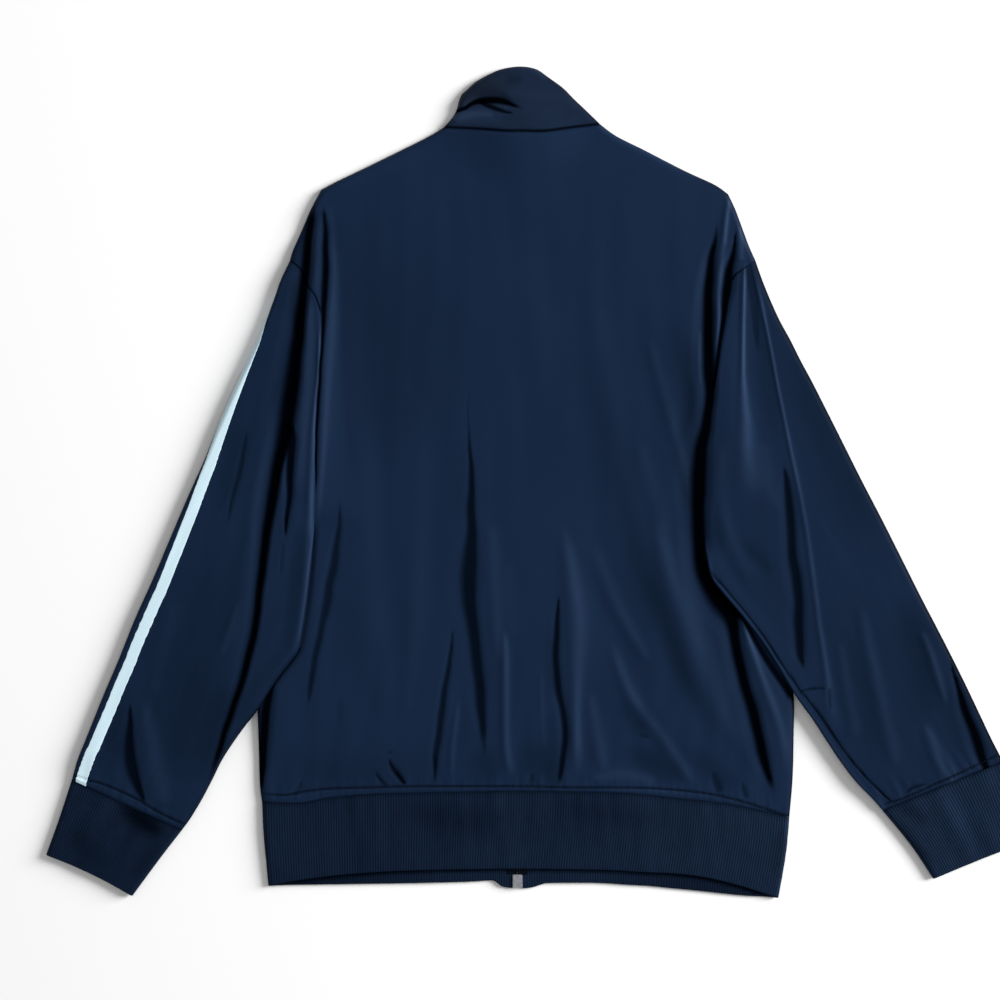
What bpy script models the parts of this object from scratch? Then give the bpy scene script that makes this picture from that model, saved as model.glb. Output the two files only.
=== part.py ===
"""Track jacket lying on its front, back panel up, with its sleeves beside it.

Row frame: +X to the right when the back is seen from above, +Y towards the
collar, +Z up.  The floor is z = 0.  Every number below is in millimetres and
is turned into metres when a mesh is written.

Each cloth piece is a wall of constant thickness round a middle surface.  The
middle surface is a grid of points worked out from the outline curves, the
section tables and the fold tables.
"""

from collections import namedtuple
from math import cos, hypot, pi, sin

import bmesh
import bpy
from mathutils import Matrix, Vector

for old in list(bpy.data.objects):
    bpy.data.objects.remove(old, do_unlink=True)

# ---------------------------------------------------------------- main sizes
MM = 0.001
CLOTH = 1.5  # wall of the smooth knit panels
RIB = 2.0  # wall of the rib knit and the collar
TAPE = 1.0  # wall of the sleeve tapes and the zip tapes
SEAM_GAP = 0.3  # space between two pieces that meet
LAY_GAP = 0.45  # space between a panel and what lies on it
BACK_LEVEL = 4.95  # height of the back panel's middle surface
RIB_LEVEL = 5.2  # height of the upper rib layer's middle surface
UNDERARM_LEVEL = 4.4  # the same at the underarm point, where the sleeve lies over it
SIDE_LEVEL = 2.6  # height of the back panel's middle surface at its side seam
FOLD_R = 1.6  # radius of the fold along a sleeve's edge
RIB_R = 2.1  # radius of the fold along a rib band's edge
ZIP_X = -18.0  # centre line of the zip
ZIP_OPENING = 6.0  # from the zip's centre line to a front's edge
ZIP_TAPE_REACH = 14.0  # from the zip's centre line to a tape's outer edge
ZIP_TAPE_LEVEL = 2.8  # height of a zip tape's middle surface
SLIDER_LIFT = 4.0  # how far the slider holds the collar's front off the floor
SLEEVE_TAPE = 9.5  # width of the sleeve tape

Point = namedtuple("Point", "x y")

# ------------------------------------------------------------ outline curves
# Each row is a point that the outline passes through, in order.
NECK_SEAM = [Point(-87, 330), Point(-53, 328), Point(-30, 326), Point(-12, 326), Point(7, 326), Point(35, 330), Point(59, 333)]
SHOULDER_LEFT = [Point(-201, 272), Point(-184, 281), Point(-165, 290), Point(-126, 309), Point(-100, 322), Point(-87, 330)]
SHOULDER_RIGHT = [Point(59, 333), Point(74, 322), Point(100, 309), Point(137, 290), Point(165, 277), Point(178, 268)]
DROP_LEFT = [Point(-230, 206), Point(-227, 216), Point(-219, 234), Point(-211, 253), Point(-201, 272)]
DROP_RIGHT = [Point(203, 207), Point(198, 218), Point(192, 234), Point(185, 253), Point(178, 268)]
SIDE_LEFT = [Point(-256, -298), Point(-258, -282), Point(-259, -249), Point(-260, -217), Point(-260, -193), Point(-257, -161), Point(-251, -130), Point(-242, -102), Point(-230, -74), Point(-218, -55), Point(-207, -37)]
SIDE_RIGHT = [Point(235, -312), Point(238, -277), Point(239, -240), Point(239, -198), Point(233, -173), Point(224, -149), Point(210, -124), Point(193, -102), Point(172, -79), Point(157, -60)]
HEM_SEAM = [Point(-256, -298), Point(-220, -299), Point(-193, -294), Point(-155, -291), Point(-127, -290), Point(-81, -289), Point(-16, -288), Point(59, -289), Point(96, -291), Point(133, -295), Point(170, -299), Point(198, -304), Point(235, -312)]
HEM_BACK_EDGE = [Point(-250, -374), Point(-230, -372), Point(-202, -368), Point(-174, -365), Point(-127, -362), Point(-34, -360), Point(59, -361), Point(96, -363), Point(133, -365), Point(161, -369), Point(189, -376), Point(207, -381), Point(224, -385)]
FRONT_HEM_SEAM = [Point(-256, -298), Point(-155, -297), Point(-18, -299), Point(120, -302), Point(235, -312)]
HEM_FRONT_EDGE = [Point(-250, -374), Point(-193, -373), Point(-127, -372), Point(-60, -371), Point(-32, -375), Point(-18, -377), Point(-4, -377), Point(20, -371), Point(59, -370), Point(105, -373), Point(152, -379), Point(189, -383), Point(224, -385)]
HEM_LEFT_EDGE = [Point(-256, -298), Point(-254, -335), Point(-250, -374)]
HEM_RIGHT_EDGE = [Point(235, -312), Point(232, -345), Point(224, -385)]
COLLAR_LEFT_EDGE = [Point(-87, 330), Point(-79, 339), Point(-74, 349), Point(-70, 361)]
COLLAR_RIGHT_EDGE = [Point(59, 333), Point(46, 344), Point(34, 355), Point(23, 366), Point(10, 376)]
COLLAR_BACK_EDGE = [Point(-70, 361), Point(-64, 366), Point(-57, 372), Point(-46, 378), Point(-33, 383), Point(-16, 385), Point(-1, 383), Point(10, 376)]
FRONT_NECK = [Point(-87, 330), Point(-79, 303), Point(-55, 281), Point(-18, 272), Point(20, 282), Point(49, 304), Point(59, 333)]
COLLAR_FRONT_EDGE = [Point(-70, 361), Point(-51, 344), Point(-18, 334), Point(1, 350), Point(10, 376)]

# ------------------------------------------------------------ sleeve sections
# A row for each section across a sleeve, from the armhole to the cuff.
#   ox, oy   the section's end on the sleeve's outer edge
#   ix, iy   its end on the armhole seam, or on the folded inner edge
#   crease   distance of the main crease from the outer edge, along the section
#   outer    height of the upper layer's middle surface on the outer side of the crease
#   floor    its height in the crease
#   inner    its height on the inner side of the crease
#   end      its height where the section ends
#   under    height of the lower layer's middle surface where it ends
#   tape     distance of the tape's middle from the outer fold; negative is underneath
Section = namedtuple("Section", "ox oy ix iy crease outer floor inner end under tape")
LEFT_SLEEVE = [
    Section(-230, 206, -201, 158, 30, 7.5, 4.2, 9.5, 8.0, 0.75, -13.0),
    Section(-251, 151, -201, 100, 38, 8.5, 3.6, 11.0, 8.0, 0.75, -7.0),
    Section(-273, 104, -205, 44, 53, 9.0, 3.4, 11.5, 8.0, 0.75, 4.0),
    Section(-298, 48, -206, -17, 68, 9.0, 3.4, 12.0, 9.0, 0.75, 7.6),
    Section(-308, 25, -207, -37, 72, 9.0, 3.8, 12.5, 10.6, 7.4, 8.6),
    Section(-334, -35, -213, -105, 92, 9.0, 5.0, 12.5, 10.8, 7.4, 12.4),
    Section(-363, -102, -235, -177, 107, 9.5, 7.5, 12.0, 10.8, 7.4, 13.2),
    Section(-379, -140, -256, -206, 112, 9.5, 7.5, 11.0, 10.8, 7.4, 13.2),
    Section(-394, -177, -273, -231, 114, 9.5, 6.0, 9.5, 9.0, 5.6, 13.2),
    Section(-409, -212, -293, -260, 112, 9.0, 5.0, 8.0, 6.4, 2.6, 13.2),
    Section(-422, -246, -311, -293, 108, 8.0, 5.6, 7.0, 5.8, 2.2, 13.2),
    Section(-433, -277, -332, -322, 100, 6.6, 5.8, 6.2, 5.8, 2.2, 13.2),
]
RIGHT_SLEEVE = [
    Section(203, 207, 180, 188, 12, 7.5, 7.0, 8.5, 7.5, 0.75, -13.0),
    Section(230, 141, 171, 141, 22, 9.0, 7.2, 11.0, 7.5, 0.75, -14.5),
    Section(255, 95, 166, 91, 46, 9.5, 7.0, 12.5, 7.5, 0.75, -14.5),
    Section(280, 45, 157, 39, 62, 10.0, 7.2, 13.0, 8.5, 0.75, -14.5),
    Section(315, -26, 157, -60, 84, 10.5, 8.0, 13.0, 10.8, 7.4, -14.5),
    Section(342, -78, 184, -111, 98, 10.5, 8.6, 12.5, 10.8, 7.4, -14.5),
    Section(369, -130, 220, -165, 108, 10.5, 9.0, 12.0, 10.8, 7.4, -14.5),
    Section(384, -162, 242, -197, 108, 10.0, 9.2, 11.0, 10.6, 7.2, -14.5),
    Section(398, -189, 269, -231, 100, 9.5, 8.2, 9.5, 8.6, 5.2, -14.5),
    Section(412, -218, 289, -264, 90, 8.5, 7.0, 8.0, 6.4, 2.6, -14.5),
    Section(434, -260, 328, -303, 70, 6.8, 5.8, 6.2, 5.8, 2.2, -14.5),
]
# Which row of each table is the underarm point, where the inner edge becomes a fold.
UNDERARM_LEFT = 4
UNDERARM_RIGHT = 4
ARMHOLE_STEPS = 7  # mesh rows from the top of a sleeve to its underarm point
SLEEVE_STEPS = 16  # mesh rows in all
# Mesh columns round a sleeve's outer fold, as distances from it; negative is underneath.
FOLD_REACH = FOLD_R + CLOTH / 2 + LAY_GAP + TAPE / 2  # radius at which those distances are measured: the tape's own
FOLD_ARCS = [-22.0, -13.0, -FOLD_REACH * pi / 2, -FOLD_REACH * pi / 4, 0.0, FOLD_REACH * pi / 4, FOLD_REACH * pi / 2, 12.0, 20.0]
TAPE_COLUMNS = 4
ARMHOLE_BULGE = 10.0  # how much deeper the armhole is cut in the fronts

# Cuff: a row for each section from the sleeve seam to the open end.
CuffRow = namedtuple("CuffRow", "ox oy ix iy")
LEFT_CUFF = [CuffRow(-433, -277, -332, -322), CuffRow(-444, -314, -351, -348), CuffRow(-456, -345, -378, -383)]
RIGHT_CUFF = [CuffRow(434, -260, 328, -303), CuffRow(447, -300, 349, -338), CuffRow(456, -333, 369, -367)]
CUFF_STEPS = 3

# ---------------------------------------------------------- body fold table
# A row for each large fold of the back panel: a soft line from one point to
# another, through a middle point, with its half width and its height.
Fold = namedtuple("Fold", "name x0 y0 x1 y1 x2 y2 half_width height")
BACK_FOLDS = [
    Fold("ridge_by_left_armhole", -188, 216, -186, 95, -196, 5, 24, 3.6),
    Fold("ridge_by_right_armhole", 130, 230, 126, 70, 120, -60, 30, 3.8),
    Fold("valley_by_right_armhole", 162, 216, 155, 60, 152, -70, 9, -6.5),
    Fold("centre_trough", -62, 60, -63, -90, -50, -240, 10, -2.8),
    Fold("centre_ridge", -38, -20, -33, -120, -26, -260, 16, 2.2),
    Fold("right_centre_trough", 19, -100, 20, -180, 22, -270, 8, -2.4),
    Fold("right_centre_ridge", 36, -70, 38, -160, 38, -262, 14, 2.2),
    Fold("lower_right_trough", 184, -140, 198, -212, 217, -276, 11, -2.6),
    Fold("lower_right_ridge", 198, -135, 214, -190, 224, -245, 10, 1.2),
]
PUFF = 1.6  # how much the middle of the back stands above BACK_LEVEL
COLLAR_BUMP = 5.8  # how far the slider below pushes up the back of the neck

# Mesh columns across the back: close together along the large folds.
BACK_COLUMNS = [0.0, 0.02, 0.05, 0.10, 0.17, 0.24, 0.30, 0.345, 0.375, 0.40, 0.425, 0.46, 0.50, 0.54, 0.565, 0.59, 0.63, 0.684, 0.74, 0.80, 0.86, 0.905, 0.935, 0.96, 0.98, 1.0]
NECK_START, NECK_END = 6, 17  # the columns at the two ends of the neck seam
SIDE_STEPS = 8  # mesh rows from the hem to the underarm point
DROP_STEPS = 3  # mesh rows along the dropped shoulder
HEM_FRONT_COLUMNS = 6  # mesh columns of each front half of the waistband
COLLAR_FRONT_COLUMNS = 5  # and of the collar
COLLAR_STEPS = 5
HEM_STEPS = 3


# ------------------------------------------------------------ small functions
def smooth(a, b, x):
    """0 below a, 1 above b, and an even S between them."""
    t = min(1.0, max(0.0, (x - a) / (b - a)))
    return t * t * (3 - 2 * t)


def mix(a, b, t):
    return a + (b - a) * t


def mix_point(p, q, t):
    return Point(mix(p[0], q[0], t), mix(p[1], q[1], t))


def table_value(rows, t):
    """Every column of a table at position t, where whole numbers are its rows. A cubic keeps the rows and is smooth between them."""
    last = len(rows) - 1
    i = min(last - 1, max(0, int(t)))
    f = t - i
    before, start, end, after = rows[max(0, i - 1)], rows[i], rows[i + 1], rows[min(last, i + 2)]
    values = []
    for p, a, b, n in zip(before, start, end, after):
        values.append(a + f * (0.5 * (b - p) + f * (p - 2.5 * a + 2 * b - 0.5 * n + f * (0.5 * (n - p) + 1.5 * (a - b)))))
    return type(start)(*values)


class Curve:
    """A smooth curve through a table's points, read by its share of the length."""

    def __init__(self, rows, fine=12):
        self.points = [table_value(rows, k / fine) for k in range((len(rows) - 1) * fine + 1)]
        self.reach = [0.0]
        for p, q in zip(self.points, self.points[1:]):
            self.reach.append(self.reach[-1] + hypot(q.x - p.x, q.y - p.y))

    def at(self, share):
        goal = min(1.0, max(0.0, share)) * self.reach[-1]
        k = 0
        while k < len(self.reach) - 2 and self.reach[k + 1] < goal:
            k += 1
        return mix_point(self.points[k], self.points[k + 1], (goal - self.reach[k]) / (self.reach[k + 1] - self.reach[k]))

    def heading(self, share):
        p, q = self.at(share - 0.02), self.at(share + 0.02)
        size = hypot(q.x - p.x, q.y - p.y)
        return Point((q.x - p.x) / size, (q.y - p.y) / size)

    def height_at(self, x):
        """y where the curve, which runs from left to right, passes x."""
        for p, q in zip(self.points, self.points[1:]):
            if q.x >= x:
                break
        return mix(p.y, q.y, min(1.5, max(-0.5, (x - p.x) / (q.x - p.x))))

    def distance(self, x, y):
        best = 1e9
        for p, q in zip(self.points[::4], self.points[4::4]):
            dx, dy = q.x - p.x, q.y - p.y
            t = min(1.0, max(0.0, ((x - p.x) * dx + (y - p.y) * dy) / (dx * dx + dy * dy)))
            best = min(best, hypot(x - p.x - dx * t, y - p.y - dy * t))
        return best


side_left, side_right = Curve(SIDE_LEFT), Curve(SIDE_RIGHT)
shoulder_left, shoulder_right = Curve(SHOULDER_LEFT), Curve(SHOULDER_RIGHT)
drop_left, drop_right = Curve(DROP_LEFT), Curve(DROP_RIGHT)
neck_seam, hem_seam, front_hem_seam = Curve(NECK_SEAM), Curve(HEM_SEAM), Curve(FRONT_HEM_SEAM)
front_neck = Curve(FRONT_NECK)


def fold_height(x, y):
    """Sum of the back panel's folds at a point, ridges first and troughs second."""
    ridges = troughs = 0.0
    for fold in BACK_FOLDS:
        line = [Point(fold.x0, fold.y0), Point(fold.x1, fold.y1), Point(fold.x2, fold.y2)]
        best, along = 1e9, 0.0
        for k, (p, q) in enumerate(zip(line, line[1:])):
            dx, dy = q.x - p.x, q.y - p.y
            t = min(1.0, max(0.0, ((x - p.x) * dx + (y - p.y) * dy) / (dx * dx + dy * dy)))
            d = hypot(x - p.x - dx * t, y - p.y - dy * t)
            if d < best:
                best, along = d, (k + t) / 2
        share = (1 - smooth(0, 2 * fold.half_width, best)) * smooth(0, 0.25, along) * smooth(0, 0.2, 1 - along)
        if fold.height > 0:
            ridges += fold.height * share
        else:
            troughs += fold.height * share
    return ridges, troughs


def back_level(x, y):
    """Height of the back panel's middle surface, before its side edges turn down."""
    free = min(side_left.distance(x, y), side_right.distance(x, y))
    ridges, troughs = fold_height(x, y)
    clear = smooth(34, 62, free)
    from_hem = y - hem_seam.height_at(x)
    puff = PUFF * clear * smooth(0, 70, from_hem) * smooth(0, 90, 330 - y)
    ends = smooth(0, 30, from_hem)
    bump = COLLAR_BUMP * (1 - smooth(6, 75, hypot(x - ZIP_X, 1.2 * (y - 331))))
    return max(BACK_LEVEL - 1.6, BACK_LEVEL + puff + ridges * clear * ends + troughs * ends + bump)


def lift(x, y):
    """How far the slider and its pull hold the collar's front off the floor."""
    return SLIDER_LIFT * smooth(296, 320, y) * (1 - smooth(8, 44, abs(x - ZIP_X)))


# ----------------------------------------------------------------- materials
def material(name, colour, roughness, metallic=0.0):
    made = bpy.data.materials.new(name)
    made.use_nodes = True
    shader = made.node_tree.nodes["Principled BSDF"]
    shader.inputs["Base Color"].default_value = (*colour, 1.0)
    shader.inputs["Roughness"].default_value = roughness
    shader.inputs["Metallic"].default_value = metallic
    return made


NAVY = (0.0095, 0.0222, 0.0545)
RIB_NAVY = (0.0078, 0.0159, 0.0343)
ICE = (0.66, 0.85, 0.92)
ZIP_NAVY = (0.008, 0.015, 0.032)
SILVER = (0.74, 0.76, 0.79)


def add_object(name, mesh_data, colour, roughness, metallic=0.0):
    mesh = bpy.data.meshes.new(name)
    mesh_data.to_mesh(mesh)
    mesh_data.free()
    mesh.materials.append(material(name + "_finish", colour, roughness, metallic))
    mesh.shade_smooth()
    mesh.set_sharp_from_angle(angle=0.9)
    made = bpy.data.objects.new(name, mesh)
    bpy.context.scene.collection.objects.link(made)
    return made


def wall(name, grid, thick, colour, roughness, round_strip=False):
    """A closed wall round a grid of (middle point, outward direction) pairs."""
    bm = bmesh.new()
    rows, columns = len(grid), len(grid[0])
    outer = [[bm.verts.new((m + d * thick / 2) * MM) for m, d in row] for row in grid]
    inner = [[bm.verts.new((m - d * thick / 2) * MM) for m, d in row] for row in grid]
    for j in range(rows - 1):
        for i in range(columns - 1):
            bm.faces.new((outer[j][i], outer[j][i + 1], outer[j + 1][i + 1], outer[j + 1][i]))
            bm.faces.new((inner[j][i], inner[j + 1][i], inner[j + 1][i + 1], inner[j][i + 1]))
    for j in (0, rows - 1):
        for i in range(columns - 1):
            bm.faces.new((outer[j][i], inner[j][i], inner[j][i + 1], outer[j][i + 1]))
    for i in (0, columns - 1):
        for j in range(rows - 1):
            bm.faces.new((outer[j][i], outer[j + 1][i], inner[j + 1][i], inner[j][i]))
    bmesh.ops.recalc_face_normals(bm, faces=bm.faces)
    if bm.calc_volume(signed=True) < 0:
        bmesh.ops.reverse_faces(bm, faces=bm.faces)
    return add_object(name, bm, colour, roughness)


UP, DOWN = Vector((0, 0, 1)), Vector((0, 0, -1))


# ------------------------------------------------------------------- sleeves
class Sleeve:
    """The grid of one sleeve. A row runs from the end of the lower layer, round the outer fold, to the end of the upper layer."""

    def __init__(self, rows, underarm, side, body_side):
        self.rows, self.underarm, self.side, self.body_side = rows, underarm, side, body_side
        self.outer = Curve([Point(r.ox, r.oy) for r in rows])
        self.grid, self.near_fold = [], []
        for j in range(SLEEVE_STEPS + 1):
            if j <= ARMHOLE_STEPS:
                t = underarm * j / ARMHOLE_STEPS
            else:
                t = mix(underarm, len(rows) - 1, (j - ARMHOLE_STEPS) / (SLEEVE_STEPS - ARMHOLE_STEPS))
            self.grid.append(self.row(t, j))

    def row(self, t, j):
        s = table_value(self.rows, t)
        folded = t >= self.underarm
        outline, end = Vector((s.ox, s.oy)), Vector((s.ix, s.iy))
        out = (outline - end).normalized()  # along the section, away from the sleeve
        inward = -out
        centre = outline - out * (FOLD_R + CLOTH / 2)
        under_end = max(CLOTH / 2, s.under)
        end_r = (s.end - under_end) / 2
        far = end - inward * (end_r + CLOTH / 2) if folded else end
        bulge = 0.0 if folded else ARMHOLE_BULGE * sin(pi * min(1.0, t / (0.84 * self.underarm)))
        far_low = far if folded else end - (outline - end).normalized() * bulge
        fold_z = 2.95 + FOLD_R
        span, span_low = (far - centre).length, (far_low - centre).length
        quarter = FOLD_REACH * pi / 2
        crease = s.crease - (FOLD_R + CLOTH / 2)

        def upper(d):
            """Middle point and outward direction on the upper layer, d along the section from the outer fold."""
            place = centre + (far - centre) * d / span
            z = mix(fold_z + FOLD_R, s.outer, smooth(0, 0.55 * crease, d))
            z = mix(z, s.floor, smooth(crease - 12, crease - 1, d))
            z = mix(z, s.inner, smooth(crease + 1, crease + 12, d))
            z = mix(z, s.end, smooth(max(crease + 12, span - 16), span, d))
            return Vector((place.x, place.y, z)), UP

        def lower(d):
            place = centre + (far_low - centre) * d / span_low
            z = mix(fold_z - FOLD_R, CLOTH / 2, smooth(17, 32, d))
            z = mix(z, under_end, smooth(foot, head, d))
            return Vector((place.x, place.y, z)), DOWN

        foot, head = self.foot(span_low, centre, far_low, s)

        def near_fold(arc):
            if abs(arc) < quarter:
                turn = arc / FOLD_REACH
                flat = out * cos(turn)
                way = Vector((flat.x, flat.y, sin(turn)))
                return Vector((centre.x, centre.y, fold_z)) + way * FOLD_R, way
            return upper(arc - quarter) if arc > 0 else lower(-arc - quarter)

        points = []
        # the end of the lower layer, rolled up round the inner fold where there is one
        if folded:
            middle = Vector((far.x, far.y, (s.end + under_end) / 2))
            gap = 0.5 * SEAM_GAP / end_r
            for turn in (-gap, -pi / 4):
                way = Vector((inward.x * cos(turn), inward.y * cos(turn), sin(turn)))
                points.append((middle + way * end_r, way))
        else:
            points += [lower(span_low), lower(span_low - 0.12 * (span_low - foot))]
        ends = [span_low if folded else span_low - 0.3 * (span_low - foot), mix(head, span_low, 0.3 if folded else 0.1), foot]
        start = -FOLD_ARCS[0] - quarter
        for d in (ends[0], min(head, ends[0] - 4), min(foot, ends[0] - 9), mix(min(foot, ends[0] - 9), start, 0.5)):
            points.append(lower(d))
        for arc in FOLD_ARCS:
            points.append(near_fold(arc))
        self.near_fold.append((near_fold, s.tape))
        # the upper layer: flat, crease, flat
        begin = FOLD_ARCS[-1] - quarter
        low, high = begin + 2, span - 12
        stops = [min(max(v, low + 2 * n), high - 4 + 2 * n) for n, v in enumerate((crease - 12, crease, crease + 12))]
        for d in stops:
            points.append(upper(d))
        points.append(upper(mix(stops[-1], span, 0.5)))
        if folded:
            points.append(upper(span))
            for turn in (pi / 4, gap):
                way = Vector((inward.x * cos(turn), inward.y * cos(turn), sin(turn)))
                points.append((middle + way * end_r, way))
        else:
            points += [upper(mix(stops[-1], span, 0.75)), upper(mix(stops[-1], span, 0.9)), upper(span)]
        return points

    def foot(self, span, centre, far, s):
        """Where the lower layer starts and ends its climb onto the body, along the section."""
        if s.under < 1.0:
            return span * 0.80, span * 0.92
        step, where = 2.0, span
        while where > 0 and not self.outside((centre + (far - centre) * where / span)):
            where -= step
        top = min(where + 1.0, span - 1.0)
        return max(top - 15, 34), max(top, 36)

    def outside(self, p):
        """Whether a point lies beyond the body's side edge."""
        best, sign = 1e9, 1.0
        for a, b in zip(self.body_side.points, self.body_side.points[1:]):
            dx, dy = b.x - a.x, b.y - a.y
            t = min(1.0, max(0.0, ((p.x - a.x) * dx + (p.y - a.y) * dy) / (dx * dx + dy * dy)))
            d = hypot(p.x - a.x - dx * t, p.y - a.y - dy * t)
            if d < best:
                best, sign = d, (dx * (p.y - a.y) - dy * (p.x - a.x)) * -self.side
        return sign > 0


left = Sleeve(LEFT_SLEEVE, UNDERARM_LEFT, -1, side_left)
right = Sleeve(RIGHT_SLEEVE, UNDERARM_RIGHT, 1, side_right)
COLUMNS = len(left.grid[0])
LOWER_COLUMNS = 6  # columns of a sleeve row before the fold group


def nudge(point, away_from, by):
    """Moves a point horizontally away from another."""
    way = Vector((point.x - away_from.x, point.y - away_from.y, 0)).normalized()
    return point + way * by


# -------------------------------------------------------- back panel, fronts
def panel_side(sleeve, upper, side_curve, drop_curve):
    """The panel's side edge as mesh points, from the hem to the shoulder tip, and how much of each point's height is fixed by the sleeve."""
    points = []
    for k in range(SIDE_STEPS):
        p = side_curve.at(k / SIDE_STEPS)
        points.append((Vector((p.x, p.y, 0)), None))
    column = -1 if upper else 0
    for j in range(ARMHOLE_STEPS, 0, -1):
        here, further = sleeve.grid[j][column][0], sleeve.grid[j][column - 3 if upper else column + 3][0]
        if j < ARMHOLE_STEPS:
            points.append((nudge(here, further, SEAM_GAP), here.z))
        else:  # the sleeve's edge is a fold here, so its wall stands beyond its middle surface
            points.append((nudge(here, further, SEAM_GAP + CLOTH / 2), UNDERARM_LEVEL))
    row = sleeve.grid[0]
    apex = LOWER_COLUMNS + 4  # the fold column nearest the outline
    order = range(COLUMNS - 1, apex, -1) if upper else range(0, apex)
    for i in order:
        here, further = row[i][0], sleeve.grid[1][i][0]
        points.append((nudge(here, further, SEAM_GAP), here.z))
    for k in range(DROP_STEPS + 1):
        p = drop_curve.at(mix(0.02, 1.0, k / DROP_STEPS))
        points.append((Vector((p.x, p.y, 0)), None))
    return points


def fill(bottom, top, left_side, right_side, across):
    """Blends four edges of a panel into a grid of horizontal positions."""
    n = len(left_side)
    heights = [(left_side[j].y + right_side[j].y) / 2 for j in range(n)]
    ups = [(h - heights[0]) / (heights[-1] - heights[0]) for h in heights]
    for j in range(1, n):
        ups[j] = max(ups[j], ups[j - 1] + 0.002)
    ups = [u / ups[-1] for u in ups]
    grid = []
    for j, v in enumerate(ups):
        row = []
        for i, u in enumerate(across):
            p = left_side[j].lerp(right_side[j], u) + bottom[i].lerp(top[i], v)
            p -= bottom[0].lerp(bottom[-1], u).lerp(top[0].lerp(top[-1], u), v)
            row.append(p)
        grid.append(row)
    return grid


def flat(p):
    return Vector((p[0], p[1]))


def back_panel():
    sides = [panel_side(left, True, side_left, drop_left), panel_side(right, True, side_right, drop_right)]
    across = BACK_COLUMNS
    bottom = [flat(hem_seam.at(u)) for u in across]
    top = []
    for i, u in enumerate(across):
        if i < NECK_START:
            top.append(flat(shoulder_left.at(u / across[NECK_START])))
        elif i <= NECK_END:
            top.append(flat(neck_seam.at((u - across[NECK_START]) / (across[NECK_END] - across[NECK_START]))))
        else:
            top.append(flat(shoulder_right.at((u - across[NECK_END]) / (1 - across[NECK_END]))))
    plan = fill(bottom, top, [flat(p) for p, _ in sides[0]], [flat(p) for p, _ in sides[1]], across)
    grid = []
    last = len(plan) - 1
    for j, row in enumerate(plan):
        made = []
        for i, p in enumerate(row):
            z = back_level(p.x, p.y)
            for edge, sign in ((sides[0], 0), (sides[1], -1)):
                fixed = edge[j][1]
                near = (p - row[sign]).length
                if fixed is not None:
                    own = back_level(row[sign].x, row[sign].y)
                    z += (fixed - own) * (1 - smooth(0, 26, near))
            # the side seams and the shoulders turn down to meet the fronts
            away = min(side_left.distance(p.x, p.y), side_right.distance(p.x, p.y))
            for curve in (shoulder_left, shoulder_right, drop_left, drop_right):
                away = min(away, curve.distance(p.x, p.y))
            on_neck = j == last and NECK_START <= i <= NECK_END
            pinned = (i == 0 and sides[0][j][1] is not None) or (i == len(row) - 1 and sides[1][j][1] is not None)
            if not on_neck and not pinned:
                z = mix(SIDE_LEVEL, z, smooth(-4, 11, away))
            made.append((Vector((p.x, p.y, z)), UP))
        grid.append(made)
    return grid


def shift_row(grid, j, towards, by):
    """Moves one row of a grid horizontally towards its neighbour row, to leave the seam's gap."""
    for i, (m, d) in enumerate(grid[j]):
        n = grid[towards][i][0]
        way = Vector((n.x - m.x, n.y - m.y, 0)).normalized()
        grid[j][i] = (m + way * by, d)


back_grid = back_panel()
shift_row(back_grid, 0, 1, SEAM_GAP / 2)
for i in range(NECK_START, NECK_END + 1):
    m, d = back_grid[-1][i]
    n = back_grid[-2][i][0]
    back_grid[-1][i] = (m + Vector((n.x - m.x, n.y - m.y, 0)).normalized() * SEAM_GAP / 2, d)
wall("back", back_grid, CLOTH, NAVY, 0.42)


def front_share(curve, side, q):
    """A point of a front curve that runs from left to right: q is 0 at the zip and 1 at the side."""
    x = mix(ZIP_X + side * ZIP_OPENING, (curve.points[0] if side < 0 else curve.points[-1]).x, q)
    return Point(x, curve.height_at(x))


def along_front(curve, side, q):
    """As front_share, by length along a curve that turns too steeply to be read by its x."""
    edge = ZIP_X + side * ZIP_OPENING
    share = min(range(101), key=lambda k: abs(curve.at(k / 100).x - edge)) / 100
    p = curve.at(mix(share, 0.0 if side < 0 else 1.0, q))
    return Point(edge, p.y) if q == 0 else p


def front_panel(name, sleeve, side_curve, drop_curve, shoulder_curve, sign):
    """A flat wall: hem, side, armhole, dropped shoulder, shoulder, neck and zip edge, as one outline."""
    outline = [flat(p) for p, _ in panel_side(sleeve, False, side_curve, drop_curve)]
    outline += [flat(shoulder_curve(k / 3)) for k in (1, 2)]
    neck = [flat(along_front(front_neck, sign, q / COLLAR_FRONT_COLUMNS)) for q in range(COLLAR_FRONT_COLUMNS, -1, -1)]
    hem = [flat(front_share(front_hem_seam, sign, q / HEM_FRONT_COLUMNS)) for q in range(HEM_FRONT_COLUMNS)]
    inside = Vector((sign * 110, 150))
    outline += [p + (inside - p).normalized() * SEAM_GAP / 2 for p in neck]
    outline += [p + Vector((0, SEAM_GAP / 2)) for p in hem]
    outline[0] += Vector((0, SEAM_GAP / 2))
    bm = bmesh.new()
    low = [bm.verts.new((p.x * MM, p.y * MM, 0)) for p in outline]
    high = [bm.verts.new((p.x * MM, p.y * MM, CLOTH * MM)) for p in outline]
    bm.faces.new(low)
    bm.faces.new(high[::-1])
    for k, n in zip(range(len(outline)), list(range(1, len(outline))) + [0]):
        bm.faces.new((low[k], high[k], high[n], low[n]))
    bmesh.ops.recalc_face_normals(bm, faces=bm.faces)
    add_object(name, bm, NAVY, 0.42)


front_panel("front_left", left, side_left, drop_left, shoulder_left.at, -1)
front_panel("front_right", right, side_right, drop_right, lambda q: shoulder_right.at(1 - q), 1)

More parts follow.
